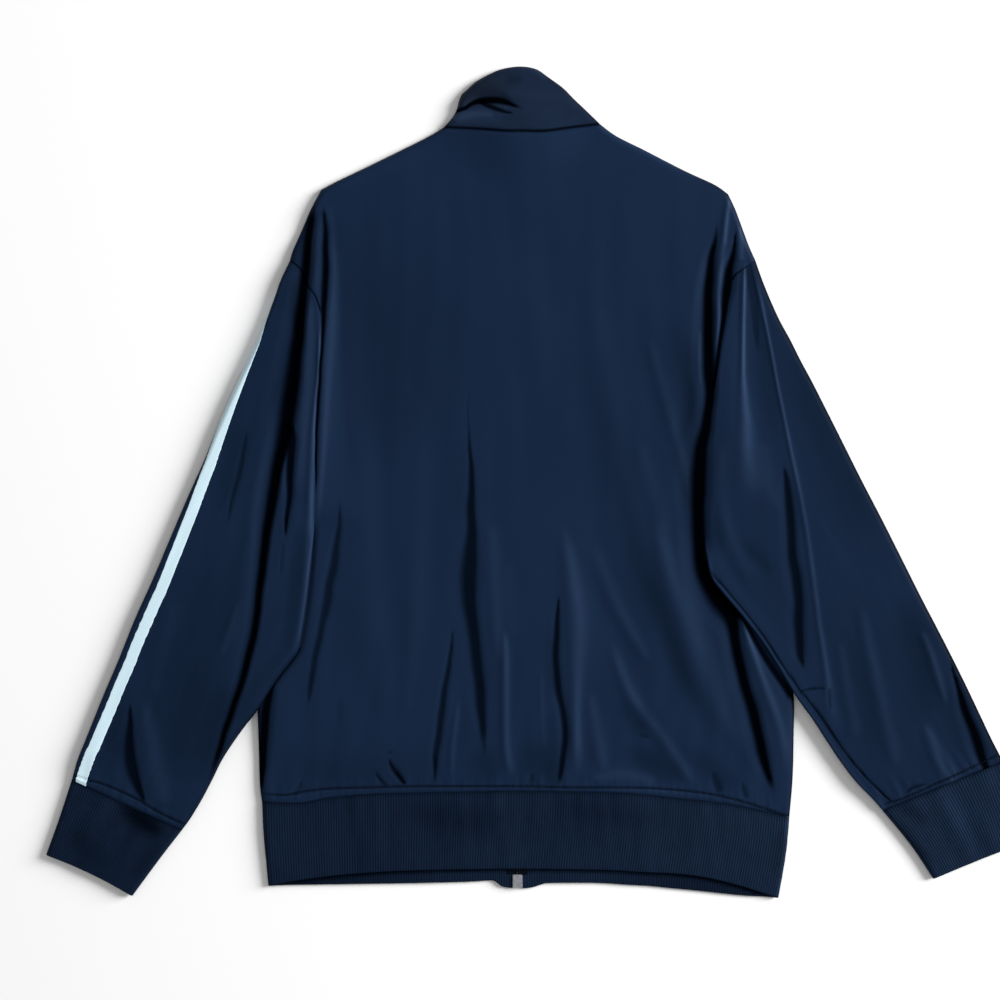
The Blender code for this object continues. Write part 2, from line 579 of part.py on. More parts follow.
# ------------------------------------------------------- sleeves, their tape
for name, sleeve in (("sleeve_left", left), ("sleeve_right", right)):
    shift_row(sleeve.grid, SLEEVE_STEPS, SLEEVE_STEPS - 1, SEAM_GAP / 2)
    wall(name, sleeve.grid, CLOTH, NAVY, 0.42)
    tape = []
    for j, ((here, tape_here), (after, tape_after)) in enumerate(zip(sleeve.near_fold, sleeve.near_fold[1:])):
        # short steps where the tape winds round the fold
        steps = max(1, round(abs(tape_after - tape_here) / 0.9)) if abs(tape_after - tape_here) > 0.4 else 1
        for k in range(steps + (j == SLEEVE_STEPS - 1)):
            f = k / steps
            strip = []
            for n in range(TAPE_COLUMNS + 1):
                arc = mix(tape_here, tape_after, f) + (n / TAPE_COLUMNS - 0.5) * SLEEVE_TAPE
                (m, d), (m2, d2) = here(arc), after(arc)
                m, d = m.lerp(m2, f), d.lerp(d2, f).normalized()
                strip.append((m + d * (CLOTH / 2 + LAY_GAP + TAPE / 2), d))
            tape.append(strip)
    shift_row(tape, 0, 1, SEAM_GAP / 2)
    shift_row(tape, len(tape) - 1, -2, SEAM_GAP / 2)
    wall(name.replace("sleeve", "sleeve_tape"), tape, TAPE, ICE, 0.55)


# --------------------------------------------------------------------- cuffs
def cuff(name, rows, sleeve):
    """A ring of rib: the same columns as the sleeve's last row, closed at the inner edge by the sleeve's kind of seam."""
    s0 = sleeve.rows[-1]
    grid = []
    for k in range(CUFF_STEPS + 1):
        t = mix(0, len(rows) - 1, k / CUFF_STEPS)
        r = table_value(rows, t)
        radius = RIB_R
        share = k / CUFF_STEPS
        low_out = mix(2.95 + 0.25, RIB / 2 + 0.4, smooth(0, 1, share))
        low_in = mix(s0.under, RIB / 2 + 0.4, smooth(0, 1, share))
        outline, end = Vector((r.ox, r.oy)), Vector((r.ix, r.iy))
        out = (outline - end).normalized()
        inward = -out
        centre, far = outline - out * (radius + RIB / 2), end - inward * (radius + RIB / 2)
        points = []
        steps = 5
        gap = 0.5 * SEAM_GAP / radius

        def layer(q, upper):
            place = centre.lerp(far, q)
            base = mix(low_out, low_in, q)
            if upper:
                z = base + 2 * radius + 0.5 * sin(pi * q)
            else:
                z = mix(base, RIB / 2, smooth(0.1, 0.3, q) * smooth(0.1, 0.3, 1 - q))
            return (Vector((place.x, place.y, z)), UP if upper else DOWN)

        for turn in (-gap, -pi / 4):
            way = Vector((inward.x * cos(turn), inward.y * cos(turn), sin(turn)))
            points.append((Vector((far.x, far.y, low_in + radius)) + way * radius, way))
        for n in range(steps + 1):
            points.append(layer(1 - n / steps, False))
        for turn in (-pi / 4, 0.0, pi / 4):
            way = Vector((out.x * cos(turn), out.y * cos(turn), sin(turn)))
            points.append((Vector((centre.x, centre.y, low_out + radius)) + way * radius, way))
        for n in range(steps + 2):
            points.append(layer(n / (steps + 1), True))
        for turn in (pi / 4, gap):
            way = Vector((inward.x * cos(turn), inward.y * cos(turn), sin(turn)))
            points.append((Vector((far.x, far.y, low_in + radius)) + way * radius, way))
        grid.append(points)
    shift_row(grid, 0, 1, SEAM_GAP / 2)
    wall(name, grid, RIB, RIB_NAVY, 0.7)


cuff("cuff_left", LEFT_CUFF, left)
cuff("cuff_right", RIGHT_CUFF, right)


# ------------------------------------------- bands from zip edge to zip edge
def band(name, steps, back_at, front_at, across, top_z, low_z, radius, colour, roughness, front_columns):
    """A strip that starts at the zip, runs under the left side, over the top and back to the zip under the right side."""
    grid = []
    for k in range(steps + 1):
        v = k / steps
        shares = [(u - across[0]) / (across[-1] - across[0]) for u in across]
        top = [flat(back_at(v, q)) for q in shares]
        left_out, right_out = (top[0] - top[1]).normalized(), (top[-1] - top[-2]).normalized()
        top[0] -= left_out * (radius + RIB / 2)
        top[-1] -= right_out * (radius + RIB / 2)
        left_c, right_c = top[0], top[-1]
        points = []

        def under(q, side):
            """q is 0 at the zip and 1 at the side fold."""
            p = flat(front_at(v, side, q))
            if q == 1:
                corner = left_c if side < 0 else right_c
                back = flat(front_at(v, side, 1 - 1 / front_columns)) - p
                # stay on the seam where it leads on from the upper layer's
                p = Vector((corner.x, p.y + back.y / back.x * (corner.x - p.x))) if abs(back.x) > abs(back.y) else corner
            return Vector((p.x, p.y, low_z(p.x, p.y))), DOWN

        for n in range(front_columns + 1):
            points.append(under(n / front_columns, -1))
        z_low, z_top = low_z(left_c.x, left_c.y), top_z(left_c.x, left_c.y)
        r = (z_top - z_low) / 2
        for turn in (-pi / 4, 0.0, pi / 4):
            way = Vector((left_out.x * cos(turn), left_out.y * cos(turn), sin(turn)))
            points.append((Vector((left_c.x, left_c.y, z_low + r)) + way * r, way))
        for p in top:
            points.append((Vector((p.x, p.y, top_z(p.x, p.y))), UP))
        z_low, z_top = low_z(right_c.x, right_c.y), top_z(right_c.x, right_c.y)
        r = (z_top - z_low) / 2
        for turn in (pi / 4, 0.0, -pi / 4):
            way = Vector((right_out.x * cos(turn), right_out.y * cos(turn), sin(turn)))
            points.append((Vector((right_c.x, right_c.y, z_low + r)) + way * r, way))
        for n in range(front_columns, -1, -1):
            points.append(under(n / front_columns, 1))
        grid.append(points)
    shift_row(grid, 0, 1, SEAM_GAP / 2)
    wall(name, grid, RIB, colour, roughness)


hem_back_edge, hem_front_edge = Curve(HEM_BACK_EDGE), Curve(HEM_FRONT_EDGE)
hem_left_edge, hem_right_edge = Curve(HEM_LEFT_EDGE), Curve(HEM_RIGHT_EDGE)


def bent(edge, v, start, end):
    """How far an outline's side edge stands off the straight line between its two ends."""
    p = edge.at(v)
    return Point(p.x - mix(start.x, end.x, v), p.y - mix(start.y, end.y, v))


def hem_back(v, q):
    p = mix_point(hem_seam.at(q), hem_back_edge.at(q), v)
    a = bent(hem_left_edge, v, HEM_SEAM[0], HEM_BACK_EDGE[0])
    b = bent(hem_right_edge, v, HEM_SEAM[-1], HEM_BACK_EDGE[-1])
    return Point(p.x + mix(a.x, b.x, q), p.y)


def hem_front(v, side, q):
    return mix_point(front_share(front_hem_seam, side, q), front_share(hem_front_edge, side, q), v)


band("hem_band", HEM_STEPS, hem_back, hem_front, BACK_COLUMNS,
     lambda x, y: RIB_LEVEL, lambda x, y: RIB / 2, RIB_R, RIB_NAVY, 0.7, HEM_FRONT_COLUMNS)

collar_back_edge, collar_front_edge = Curve(COLLAR_BACK_EDGE), Curve(COLLAR_FRONT_EDGE)
collar_left_edge, collar_right_edge = Curve(COLLAR_LEFT_EDGE), Curve(COLLAR_RIGHT_EDGE)


def collar_back(v, q):
    p = mix_point(neck_seam.at(q), collar_back_edge.at(q), v)
    a = bent(collar_left_edge, v, NECK_SEAM[0], COLLAR_BACK_EDGE[0])
    b = bent(collar_right_edge, v, NECK_SEAM[-1], COLLAR_BACK_EDGE[-1])
    return Point(p.x + a.x * (1 - q) ** 2 + b.x * q**2, p.y + a.y * (1 - q) ** 2 + b.y * q**2)


def collar_front(v, side, q):
    return mix_point(along_front(front_neck, side, q), along_front(collar_front_edge, side, q), v)


def collar_top_level(x, y):
    bump = COLLAR_BUMP * (1 - smooth(6, 75, hypot(x - ZIP_X, 1.2 * (y - 331))))
    roll = 1.8 * smooth(343, 352, y) * (1 - smooth(358, 384, y)) * (1 - smooth(-30, 5, x))
    return RIB_LEVEL + bump + roll


band("collar", COLLAR_STEPS, collar_back, collar_front, BACK_COLUMNS[NECK_START : NECK_END + 1],
     collar_top_level, lambda x, y: RIB / 2 + lift(x, y), RIB_R, NAVY, 0.45, COLLAR_FRONT_COLUMNS)

# ----------------------------------------------------------------------- zip
ZIP_BOTTOM = -365.2
ZIP_TOP = 334.0
ZIP_STEPS = 12
for name, sign in (("zip_tape_left", -1), ("zip_tape_right", 1)):
    strip = []
    for k in range(ZIP_STEPS + 1):
        t = k / ZIP_STEPS
        y = mix(ZIP_BOTTOM, 290, t * 2) if t <= 0.5 else mix(290, ZIP_TOP, t * 2 - 1)
        row = []
        for reach in (SEAM_GAP / 2, ZIP_TAPE_REACH / 2, ZIP_TAPE_REACH):
            x = ZIP_X + sign * reach
            row.append((Vector((x, y, ZIP_TAPE_LEVEL + lift(x, y))), UP))
        strip.append(row)
    wall(name, strip, TAPE, ZIP_NAVY, 0.7)


def block(bm, low, high):
    """Adds a box given by its two corners."""
    size = [h - l for l, h in zip(low, high)]
    middle = [(l + h) / 2 for l, h in zip(low, high)]
    made = bmesh.ops.create_cube(bm, size=1.0)
    bmesh.ops.scale(bm, vec=size, verts=made["verts"])
    bmesh.ops.translate(bm, vec=middle, verts=made["verts"])
    return made["verts"]


def to_metres(bm):
    bmesh.ops.scale(bm, vec=(MM, MM, MM), verts=bm.verts)


def unite(target, tool):
    cut = target.modifiers.new(tool.name, "BOOLEAN")
    cut.operation = "UNION"
    cut.object = tool
    tool.hide_render = True
    tool.display_type = "WIRE"


BOX_WIDTH, BOX_LENGTH = 9.0, 12.0
bm = bmesh.new()
block(bm, (ZIP_X - BOX_WIDTH / 2, -377.5, 0.6), (ZIP_X + BOX_WIDTH / 2, -365.5, 4.6))
bmesh.ops.bevel(bm, geom=bm.edges[:], offset=0.8, segments=2, affect="EDGES", clamp_overlap=True)
to_metres(bm)
add_object("zip_box", bm, SILVER, 0.3, 1.0)

# Slider: an upper and a lower plate round the tapes, joined by a wedge above
# the tapes' ends, with a bridge under the lower plate for the pull.
TAPE_TOP_LEVEL = ZIP_TAPE_LEVEL + SLIDER_LIFT
SLIDER_LOW, SLIDER_HIGH = 325.0, 337.0
PLATE = 1.0
MOUTH = 3.0
AXLE_Y, AXLE_Z = 331.0, 3.2
AXLE_R = 0.65
EYE = 1.05  # half the opening of the bridge round the axle
bm = bmesh.new()
profile = [
    (SLIDER_LOW, -MOUTH / 2 - PLATE),
    (SLIDER_HIGH, -MOUTH / 2 - PLATE),
    (SLIDER_HIGH, MOUTH / 2 + PLATE),
    (SLIDER_LOW, MOUTH / 2 + PLATE),
    (SLIDER_LOW, MOUTH / 2),
    (ZIP_TOP + 0.8, MOUTH / 2),
    (ZIP_TOP + 0.8, -MOUTH / 2),
    (SLIDER_LOW, -MOUTH / 2),
]
ends = []
for x in (ZIP_X - 4.5, ZIP_X + 4.5):
    ends.append([bm.verts.new((x, y, TAPE_TOP_LEVEL + z)) for y, z in profile])
for k in range(len(profile)):
    n = (k + 1) % len(profile)
    bm.faces.new((ends[0][k], ends[0][n], ends[1][n], ends[1][k]))
bm.faces.new(ends[0])
bm.faces.new(ends[1][::-1])
bmesh.ops.recalc_face_normals(bm, faces=bm.faces)
to_metres(bm)
slider = add_object("zip_slider", bm, SILVER, 0.3, 1.0)
bm = bmesh.new()
bridge_top = TAPE_TOP_LEVEL - MOUTH / 2 - PLATE + 0.4
outer_ring = [(-2.6, bridge_top), (-2.4, AXLE_Z - 1.2), (-1.4, AXLE_Z - 2.0), (1.4, AXLE_Z - 2.0), (2.4, AXLE_Z - 1.2), (2.6, bridge_top)]
eye_ring = [(EYE * cos(pi * k / 4), EYE * sin(pi * k / 4) + AXLE_Z) for k in range(8)]
faces = []
for x in (ZIP_X - 1.25, ZIP_X + 1.25):
    faces.append([bm.verts.new((x, AXLE_Y + y, z)) for y, z in outer_ring])
for k in range(len(outer_ring)):
    n = (k + 1) % len(outer_ring)
    bm.faces.new((faces[0][k], faces[0][n], faces[1][n], faces[1][k]))
bm.faces.new(faces[0])
bm.faces.new(faces[1][::-1])
bmesh.ops.recalc_face_normals(bm, faces=bm.faces)
to_metres(bm)
bridge = add_object("bridge_solid", bm, SILVER, 0.3, 1.0)
unite(slider, bridge)
bm = bmesh.new()
bmesh.ops.create_cone(bm, cap_ends=True, segments=16, radius1=EYE, radius2=EYE, depth=8.0)
bmesh.ops.rotate(bm, matrix=Matrix.Rotation(pi / 2, 3, "Y"), verts=bm.verts)
bmesh.ops.translate(bm, vec=(ZIP_X, AXLE_Y, AXLE_Z), verts=bm.verts)
to_metres(bm)
eye = add_object("bridge_eye", bm, SILVER, 0.3, 1.0)
eye.hide_render = True
eye.display_type = "WIRE"
drill = slider.modifiers.new("eye", "BOOLEAN")
drill.operation = "DIFFERENCE"
drill.object = eye

# Pull tab: its origin is on the axle; it hangs from there towards the hem and
# its tip touches the floor.
PULL_LENGTH = 26.0
PULL_HALF = 3.5
PULL_THICK = 1.3
WINDOW_HALF = 1.25 + 0.35
WINDOW_LENGTH = 4.2
bm = bmesh.new()
half = PULL_THICK / 2
parts = [
    ((-PULL_HALF, -PULL_LENGTH, -half), (PULL_HALF, -WINDOW_LENGTH, half)),
    ((-PULL_HALF, -WINDOW_LENGTH - 0.5, -half), (-WINDOW_HALF, half, half)),
    ((WINDOW_HALF, -WINDOW_LENGTH - 0.5, -half), (PULL_HALF, half, half)),
]
block(bm, *parts[0])
to_metres(bm)
pull = add_object("zip_pull", bm, SILVER, 0.3, 1.0)
for k, (low, high) in enumerate(parts[1:]):
    bm = bmesh.new()
    block(bm, low, high)
    to_metres(bm)
    arm = add_object(f"pull_arm_{k}", bm, SILVER, 0.3, 1.0)
    arm.parent = pull
    unite(pull, arm)
bm = bmesh.new()
bmesh.ops.create_cone(bm, cap_ends=True, segments=12, radius1=AXLE_R, radius2=AXLE_R, depth=2 * PULL_HALF - 1.0)
bmesh.ops.rotate(bm, matrix=Matrix.Rotation(pi / 2, 3, "Y"), verts=bm.verts)
to_metres(bm)
axle = add_object("pull_axle", bm, SILVER, 0.3, 1.0)
axle.parent = pull
unite(pull, axle)
tilt = (AXLE_Z - half) / PULL_LENGTH
pull.location = (ZIP_X * MM, AXLE_Y * MM, AXLE_Z * MM)
pull.rotation_euler = (tilt, 0, 0)
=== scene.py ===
"""Track jacket lying on its front on a white floor, back panel up, seen from straight above.

Row frame: +X to the right, +Y towards the collar, +Z up.  Lengths are in
millimetres until a mesh is written.  The folds' places are read off a plan
grid of 0.93 mm squares: u counts to the right and v downwards, and PLAN_U,
PLAN_V is the square at the row's origin.
"""

from collections import namedtuple
from math import cos, pi, radians, sin

import bpy
import numpy as np
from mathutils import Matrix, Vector, kdtree


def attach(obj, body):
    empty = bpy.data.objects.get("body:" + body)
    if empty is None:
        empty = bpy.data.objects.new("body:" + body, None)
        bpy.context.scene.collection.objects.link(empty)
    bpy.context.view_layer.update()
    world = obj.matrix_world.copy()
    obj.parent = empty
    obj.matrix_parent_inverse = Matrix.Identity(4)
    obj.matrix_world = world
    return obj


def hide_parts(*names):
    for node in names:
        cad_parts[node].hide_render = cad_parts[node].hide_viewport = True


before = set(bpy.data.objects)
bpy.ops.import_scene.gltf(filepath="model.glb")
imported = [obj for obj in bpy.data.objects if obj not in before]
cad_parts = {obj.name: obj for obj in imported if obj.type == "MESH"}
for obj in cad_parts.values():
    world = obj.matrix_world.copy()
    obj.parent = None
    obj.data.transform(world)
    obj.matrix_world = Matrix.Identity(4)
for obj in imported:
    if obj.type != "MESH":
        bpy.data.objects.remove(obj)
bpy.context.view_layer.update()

MM = 0.001
SQUARE = 0.93
PLAN_U, PLAN_V = 537, 482
ZIP_X = -18.0
FLOOR_GAP = 0.15  # how far the lowest cloth stands off the floor
RIB_PITCH = 2.45


# ================================================================= functions
def smooth(a, b, x):
    """0 at a, 1 at b, and an even S between them."""
    t = np.clip((np.asarray(x, float) - a) / (b - a), 0, 1)
    return t * t * (3 - 2 * t)


def mix(a, b, t):
    return a + (b - a) * t


def plan(rows):
    """Rows of plan squares as millimetres. Columns after the first two are kept."""
    rows = np.array(rows, float)
    rows[:, 0] = (rows[:, 0] - PLAN_U) * SQUARE
    rows[:, 1] = (PLAN_V - rows[:, 1]) * SQUARE
    return rows


def spline(rows, fine=10):
    """Points on a smooth curve through all the rows, every column included."""
    p = np.array(rows, float)
    t = np.linspace(0, len(p) - 1, (len(p) - 1) * fine + 1)
    i = np.minimum(t.astype(int), len(p) - 2)
    f = (t - i)[:, None]
    a, b, c, d = p[np.maximum(i - 1, 0)], p[i], p[i + 1], p[np.minimum(i + 2, len(p) - 1)]
    return b + f * (0.5 * (c - a) + f * (a - 2.5 * b + 2 * c - 0.5 * d + f * (0.5 * (d - a) + 1.5 * (b - c))))


def nearest(path, x, y):
    """For points x, y: distance to a polyline, signed so that it is positive on the right of a path that runs towards -Y, and the place along it in segments."""
    best = np.full(x.shape, 1e18)
    side = np.zeros(x.shape)
    where = np.zeros(x.shape)
    for k in range(len(path) - 1):
        ax, ay = path[k, 0], path[k, 1]
        dx, dy = path[k + 1, 0] - ax, path[k + 1, 1] - ay
        size = dx * dx + dy * dy
        if size < 1e-12:
            continue
        t = np.clip(((x - ax) * dx + (y - ay) * dy) / size, 0, 1)
        ex, ey = x - ax - dx * t, y - ay - dy * t
        d = ex * ex + ey * ey
        new = d < best
        best[new] = d[new]
        side[new] = np.sign(dx * ey[new] - dy * ex[new])
        where[new] = k + t[new]
    return np.sqrt(best), side, where


class Curve:
    """A smooth curve through a table's points, read by its share of the length."""

    def __init__(self, rows, fine=12):
        self.p = spline(rows, fine)[:, :2]
        steps = np.hypot(*np.diff(self.p, axis=0).T)
        self.length = steps.sum()
        self.s = np.concatenate([[0], np.cumsum(steps)]) / self.length

    def at(self, q):
        return np.stack([np.interp(q, self.s, self.p[:, 0]), np.interp(q, self.s, self.p[:, 1])], -1)

    def height(self, x):
        return np.interp(x, self.p[:, 0], self.p[:, 1])

    def distance(self, x, y):
        shape = np.shape(x)
        return nearest(self.p[::3] if len(self.p) > 30 else self.p, np.ravel(x), np.ravel(y))[0].reshape(shape)

    def share_of(self, x, y):
        return self.s[np.argmin((self.p[:, 0] - x) ** 2 + (self.p[:, 1] - y) ** 2)]


def waves(x, y, seed, long_axis, across, along, count=9):
    """Soft random undulation between about -1 and 1. Its crests run along long_axis (degrees from +X); across and along are its wavelengths."""
    rng = np.random.default_rng(seed)
    a = radians(long_axis)
    p = x * cos(a) + y * sin(a)
    q = -x * sin(a) + y * cos(a)
    total = np.zeros_like(p)
    for _ in range(count):
        total += np.sin(2 * pi * (q / (across * rng.uniform(0.6, 1.7)) + p / (along * rng.uniform(0.6, 1.7)) * rng.choice([-1, 1])) + rng.uniform(0, 6.28))
    return total / count**0.5 * 0.8


def roll(level, edge, distance, reach):
    """Height of a sheet that turns down to the height edge at its rim, over reach."""
    t = np.clip(distance / reach, 0, 1)
    return edge + (level - edge) * np.sqrt(np.maximum(0, 1 - (1 - t) ** 2))


def rim_shade(drop, distance, reach):
    """Share of the light kept by a rim that turns down by drop over reach and faces the window side, so that it looks no brighter than the flat cloth beside it."""
    t = np.clip(distance / reach, 0.02, 1)
    tilt = np.arctan(drop / reach * (1 - t) / np.sqrt(np.maximum(1 - (1 - t) ** 2, 1e-4)))
    low = radians(22.0)
    return (sin(low) + 0.2) / (np.sin(low + tilt) + 0.2)


# ================================================================== outlines
SHOULDER_LEFT = [(-201, 272), (-184, 281), (-165, 290), (-126, 309), (-100, 322), (-87, 330)]
SHOULDER_RIGHT = [(59, 333), (74, 322), (100, 309), (137, 290), (165, 277), (178, 268)]
DROP_LEFT = [(-230, 206), (-227, 216), (-219, 234), (-211, 253), (-201, 272)]
DROP_RIGHT = [(203, 207), (198, 218), (192, 234), (185, 253), (178, 268)]
NECK_SEAM = [(-87, 330), (-53, 328), (-30, 326), (-12, 326), (7, 326), (35, 330), (59, 333)]
SIDE_LEFT = [(-256, -298), (-258, -282), (-259, -249), (-260, -217), (-260, -193), (-257, -161), (-251, -130), (-242, -102), (-230, -74), (-218, -55), (-207, -37)]
SIDE_RIGHT = [(235, -312), (238, -277), (239, -240), (239, -198), (233, -173), (224, -149), (210, -124), (193, -102), (172, -79), (157, -60)]
HEM_SEAM = [(-256, -298), (-220, -299), (-193, -294), (-155, -291), (-127, -290), (-81, -289), (-16, -288), (59, -289), (96, -291), (133, -295), (170, -299), (198, -304), (235, -312)]
HEM_BACK_EDGE = [(-250, -376), (-230, -372), (-202, -368), (-174, -365), (-127, -362), (-34, -360), (59, -361), (96, -363), (133, -365), (161, -369), (189, -376), (207, -381.5), (225, -387.2)]
FRONT_HEM_SEAM = [(-256, -298), (-155, -297), (-18, -299), (120, -302), (235, -312)]
HEM_FRONT_EDGE = [(-250, -376), (-230, -375.3), (-192, -374.7), (-127, -373.8), (-90, -373), (-66, -372.4), (-55, -371.8), (-44, -371.1), (-40, -371.5), (-36, -374.3), (-32.5, -376.7), (-25, -378), (-17.7, -378.4), (-10, -378.3), (-3, -377.3), (4.7, -374.8), (12, -373.5), (49, -373.3), (68, -374), (86, -375.2), (105, -376.3), (127, -378.5), (153, -381), (190, -384.9), (209, -386), (225, -387.2)]
HEM_LEFT_EDGE = [(-256, -298), (-254, -335), (-250, -376)]
HEM_RIGHT_EDGE = [(235, -312), (232, -345), (225, -387.2)]
COLLAR_BACK_EDGE = [(-70, 361), (-64, 366.3), (-57, 372.5), (-46, 378.8), (-33, 384.3), (-16, 386.8), (-1, 384.4), (10.6, 376.8)]
COLLAR_LEFT_EDGE = [(-87, 330), (-79, 339), (-74.6, 347), (-72.6, 355), (-70, 361)]
COLLAR_RIGHT_EDGE = [(59, 333), (46.8, 344.8), (35, 356), (24, 367), (10.6, 376.8)]
FRONT_NECK = [(-87, 330), (-79, 303), (-55, 281), (-18, 272), (20, 282), (49, 304), (59, 333)]
COLLAR_FRONT_EDGE = [(-70, 361), (-51, 344), (-18, 334), (1, 350), (10, 376)]

# In plan squares, from the top down.
LEFT_OUTER = plan([(289.7, 260.5), (280, 281), (273.5, 300), (265.8, 320), (257.7, 340), (248.3, 360), (238.6, 380), (229.3, 400), (220.4, 420), (212, 440), (204, 460), (195, 480), (186, 500), (169, 540), (152, 580), (134, 620), (118, 660), (101, 700), (85, 740), (77, 760), (71.4, 780)])
LEFT_ARMHOLE = plan([(321, 312), (322.5, 325), (322.5, 345), (320.5, 374), (318.5, 400), (317, 434), (316, 470), (315.5, 500), (314.4, 521.8)])
LEFT_FOLD = plan([(314.4, 521.8), (313, 545), (311, 570), (308, 598), (304, 625), (299, 650), (291, 662), (283, 672), (273, 686), (257, 711), (246, 725), (235, 740), (222, 760), (212, 780), (201.5, 800), (189.8, 819.3), (181.5, 830.5)])
LEFT_CAP = plan([(289.7, 260.5), (300, 269), (309, 287), (316, 297), (321, 312)])
RIGHT_OUTER = plan([(755.3, 259.4), (762.6, 280), (770.8, 300), (779.9, 320), (790.8, 340), (800.8, 360), (811.6, 380), (821.8, 400), (841.9, 440), (861.9, 480), (882.7, 520), (902.8, 560), (922.9, 600), (943.7, 640), (963.8, 680), (982.9, 720), (992.4, 740), (1003.7, 761.6)])
RIGHT_ARMHOLE = plan([(732, 280), (728, 300), (723.5, 320), (721, 340), (719, 360), (717, 380), (715, 400), (712.5, 420), (710, 440), (708, 460), (707, 480), (706, 500), (705.5, 523), (705.8, 546.5)])
RIGHT_FOLD = plan([(705.8, 546.5), (706.8, 558), (708.6, 569), (712.5, 580), (720.5, 590.5), (728.5, 600), (738, 611), (746, 621), (760, 639), (775, 662), (790, 687), (799, 701), (813, 720), (826, 740), (840, 761), (856, 782), (872.5, 799), (882.8, 810.6)])
RIGHT_CAP = plan([(755.3, 259.4), (748, 265), (742, 270), (736, 274), (732, 280)])
LEFT_CUFF = [(-433, -277, -330.6, -324.1), (-445.2, -314.3, -350.3, -349.5), (-457, -347, -376.8, -385.4)]
RIGHT_CUFF = [(434, -260, 321.6, -305.6), (447, -300, 348.5, -338.5), (456.3, -334.3, 369, -369.4)]
# Which places on a sleeve's outer and inner edges lie across from each other.
LEFT_PAIRS = [(-230, 206, -201, 158), (-251, 151, -201, 100), (-273, 104, -205, 44), (-298, 48, -206, -17), (-308, 25, -207, -37), (-334, -35, -213, -105), (-363, -102, -235, -177), (-379, -140, -256, -206), (-394, -177, -273, -231), (-409, -212, -293, -260), (-422, -246, -311, -293), (-433, -277, -330.6, -324.1)]
RIGHT_PAIRS = [(203, 207, 180, 188), (230, 141, 171, 141), (255, 95, 166, 91), (280, 45, 159, 39), (315, -26, 157, -60), (342, -78, 184, -111), (369, -130, 220, -165), (384, -162, 242, -197), (398, -189, 267, -236), (412, -218, 289, -268), (434, -260, 321.6, -305.6)]
UNDERARM = 4  # the row of both tables where the armhole ends

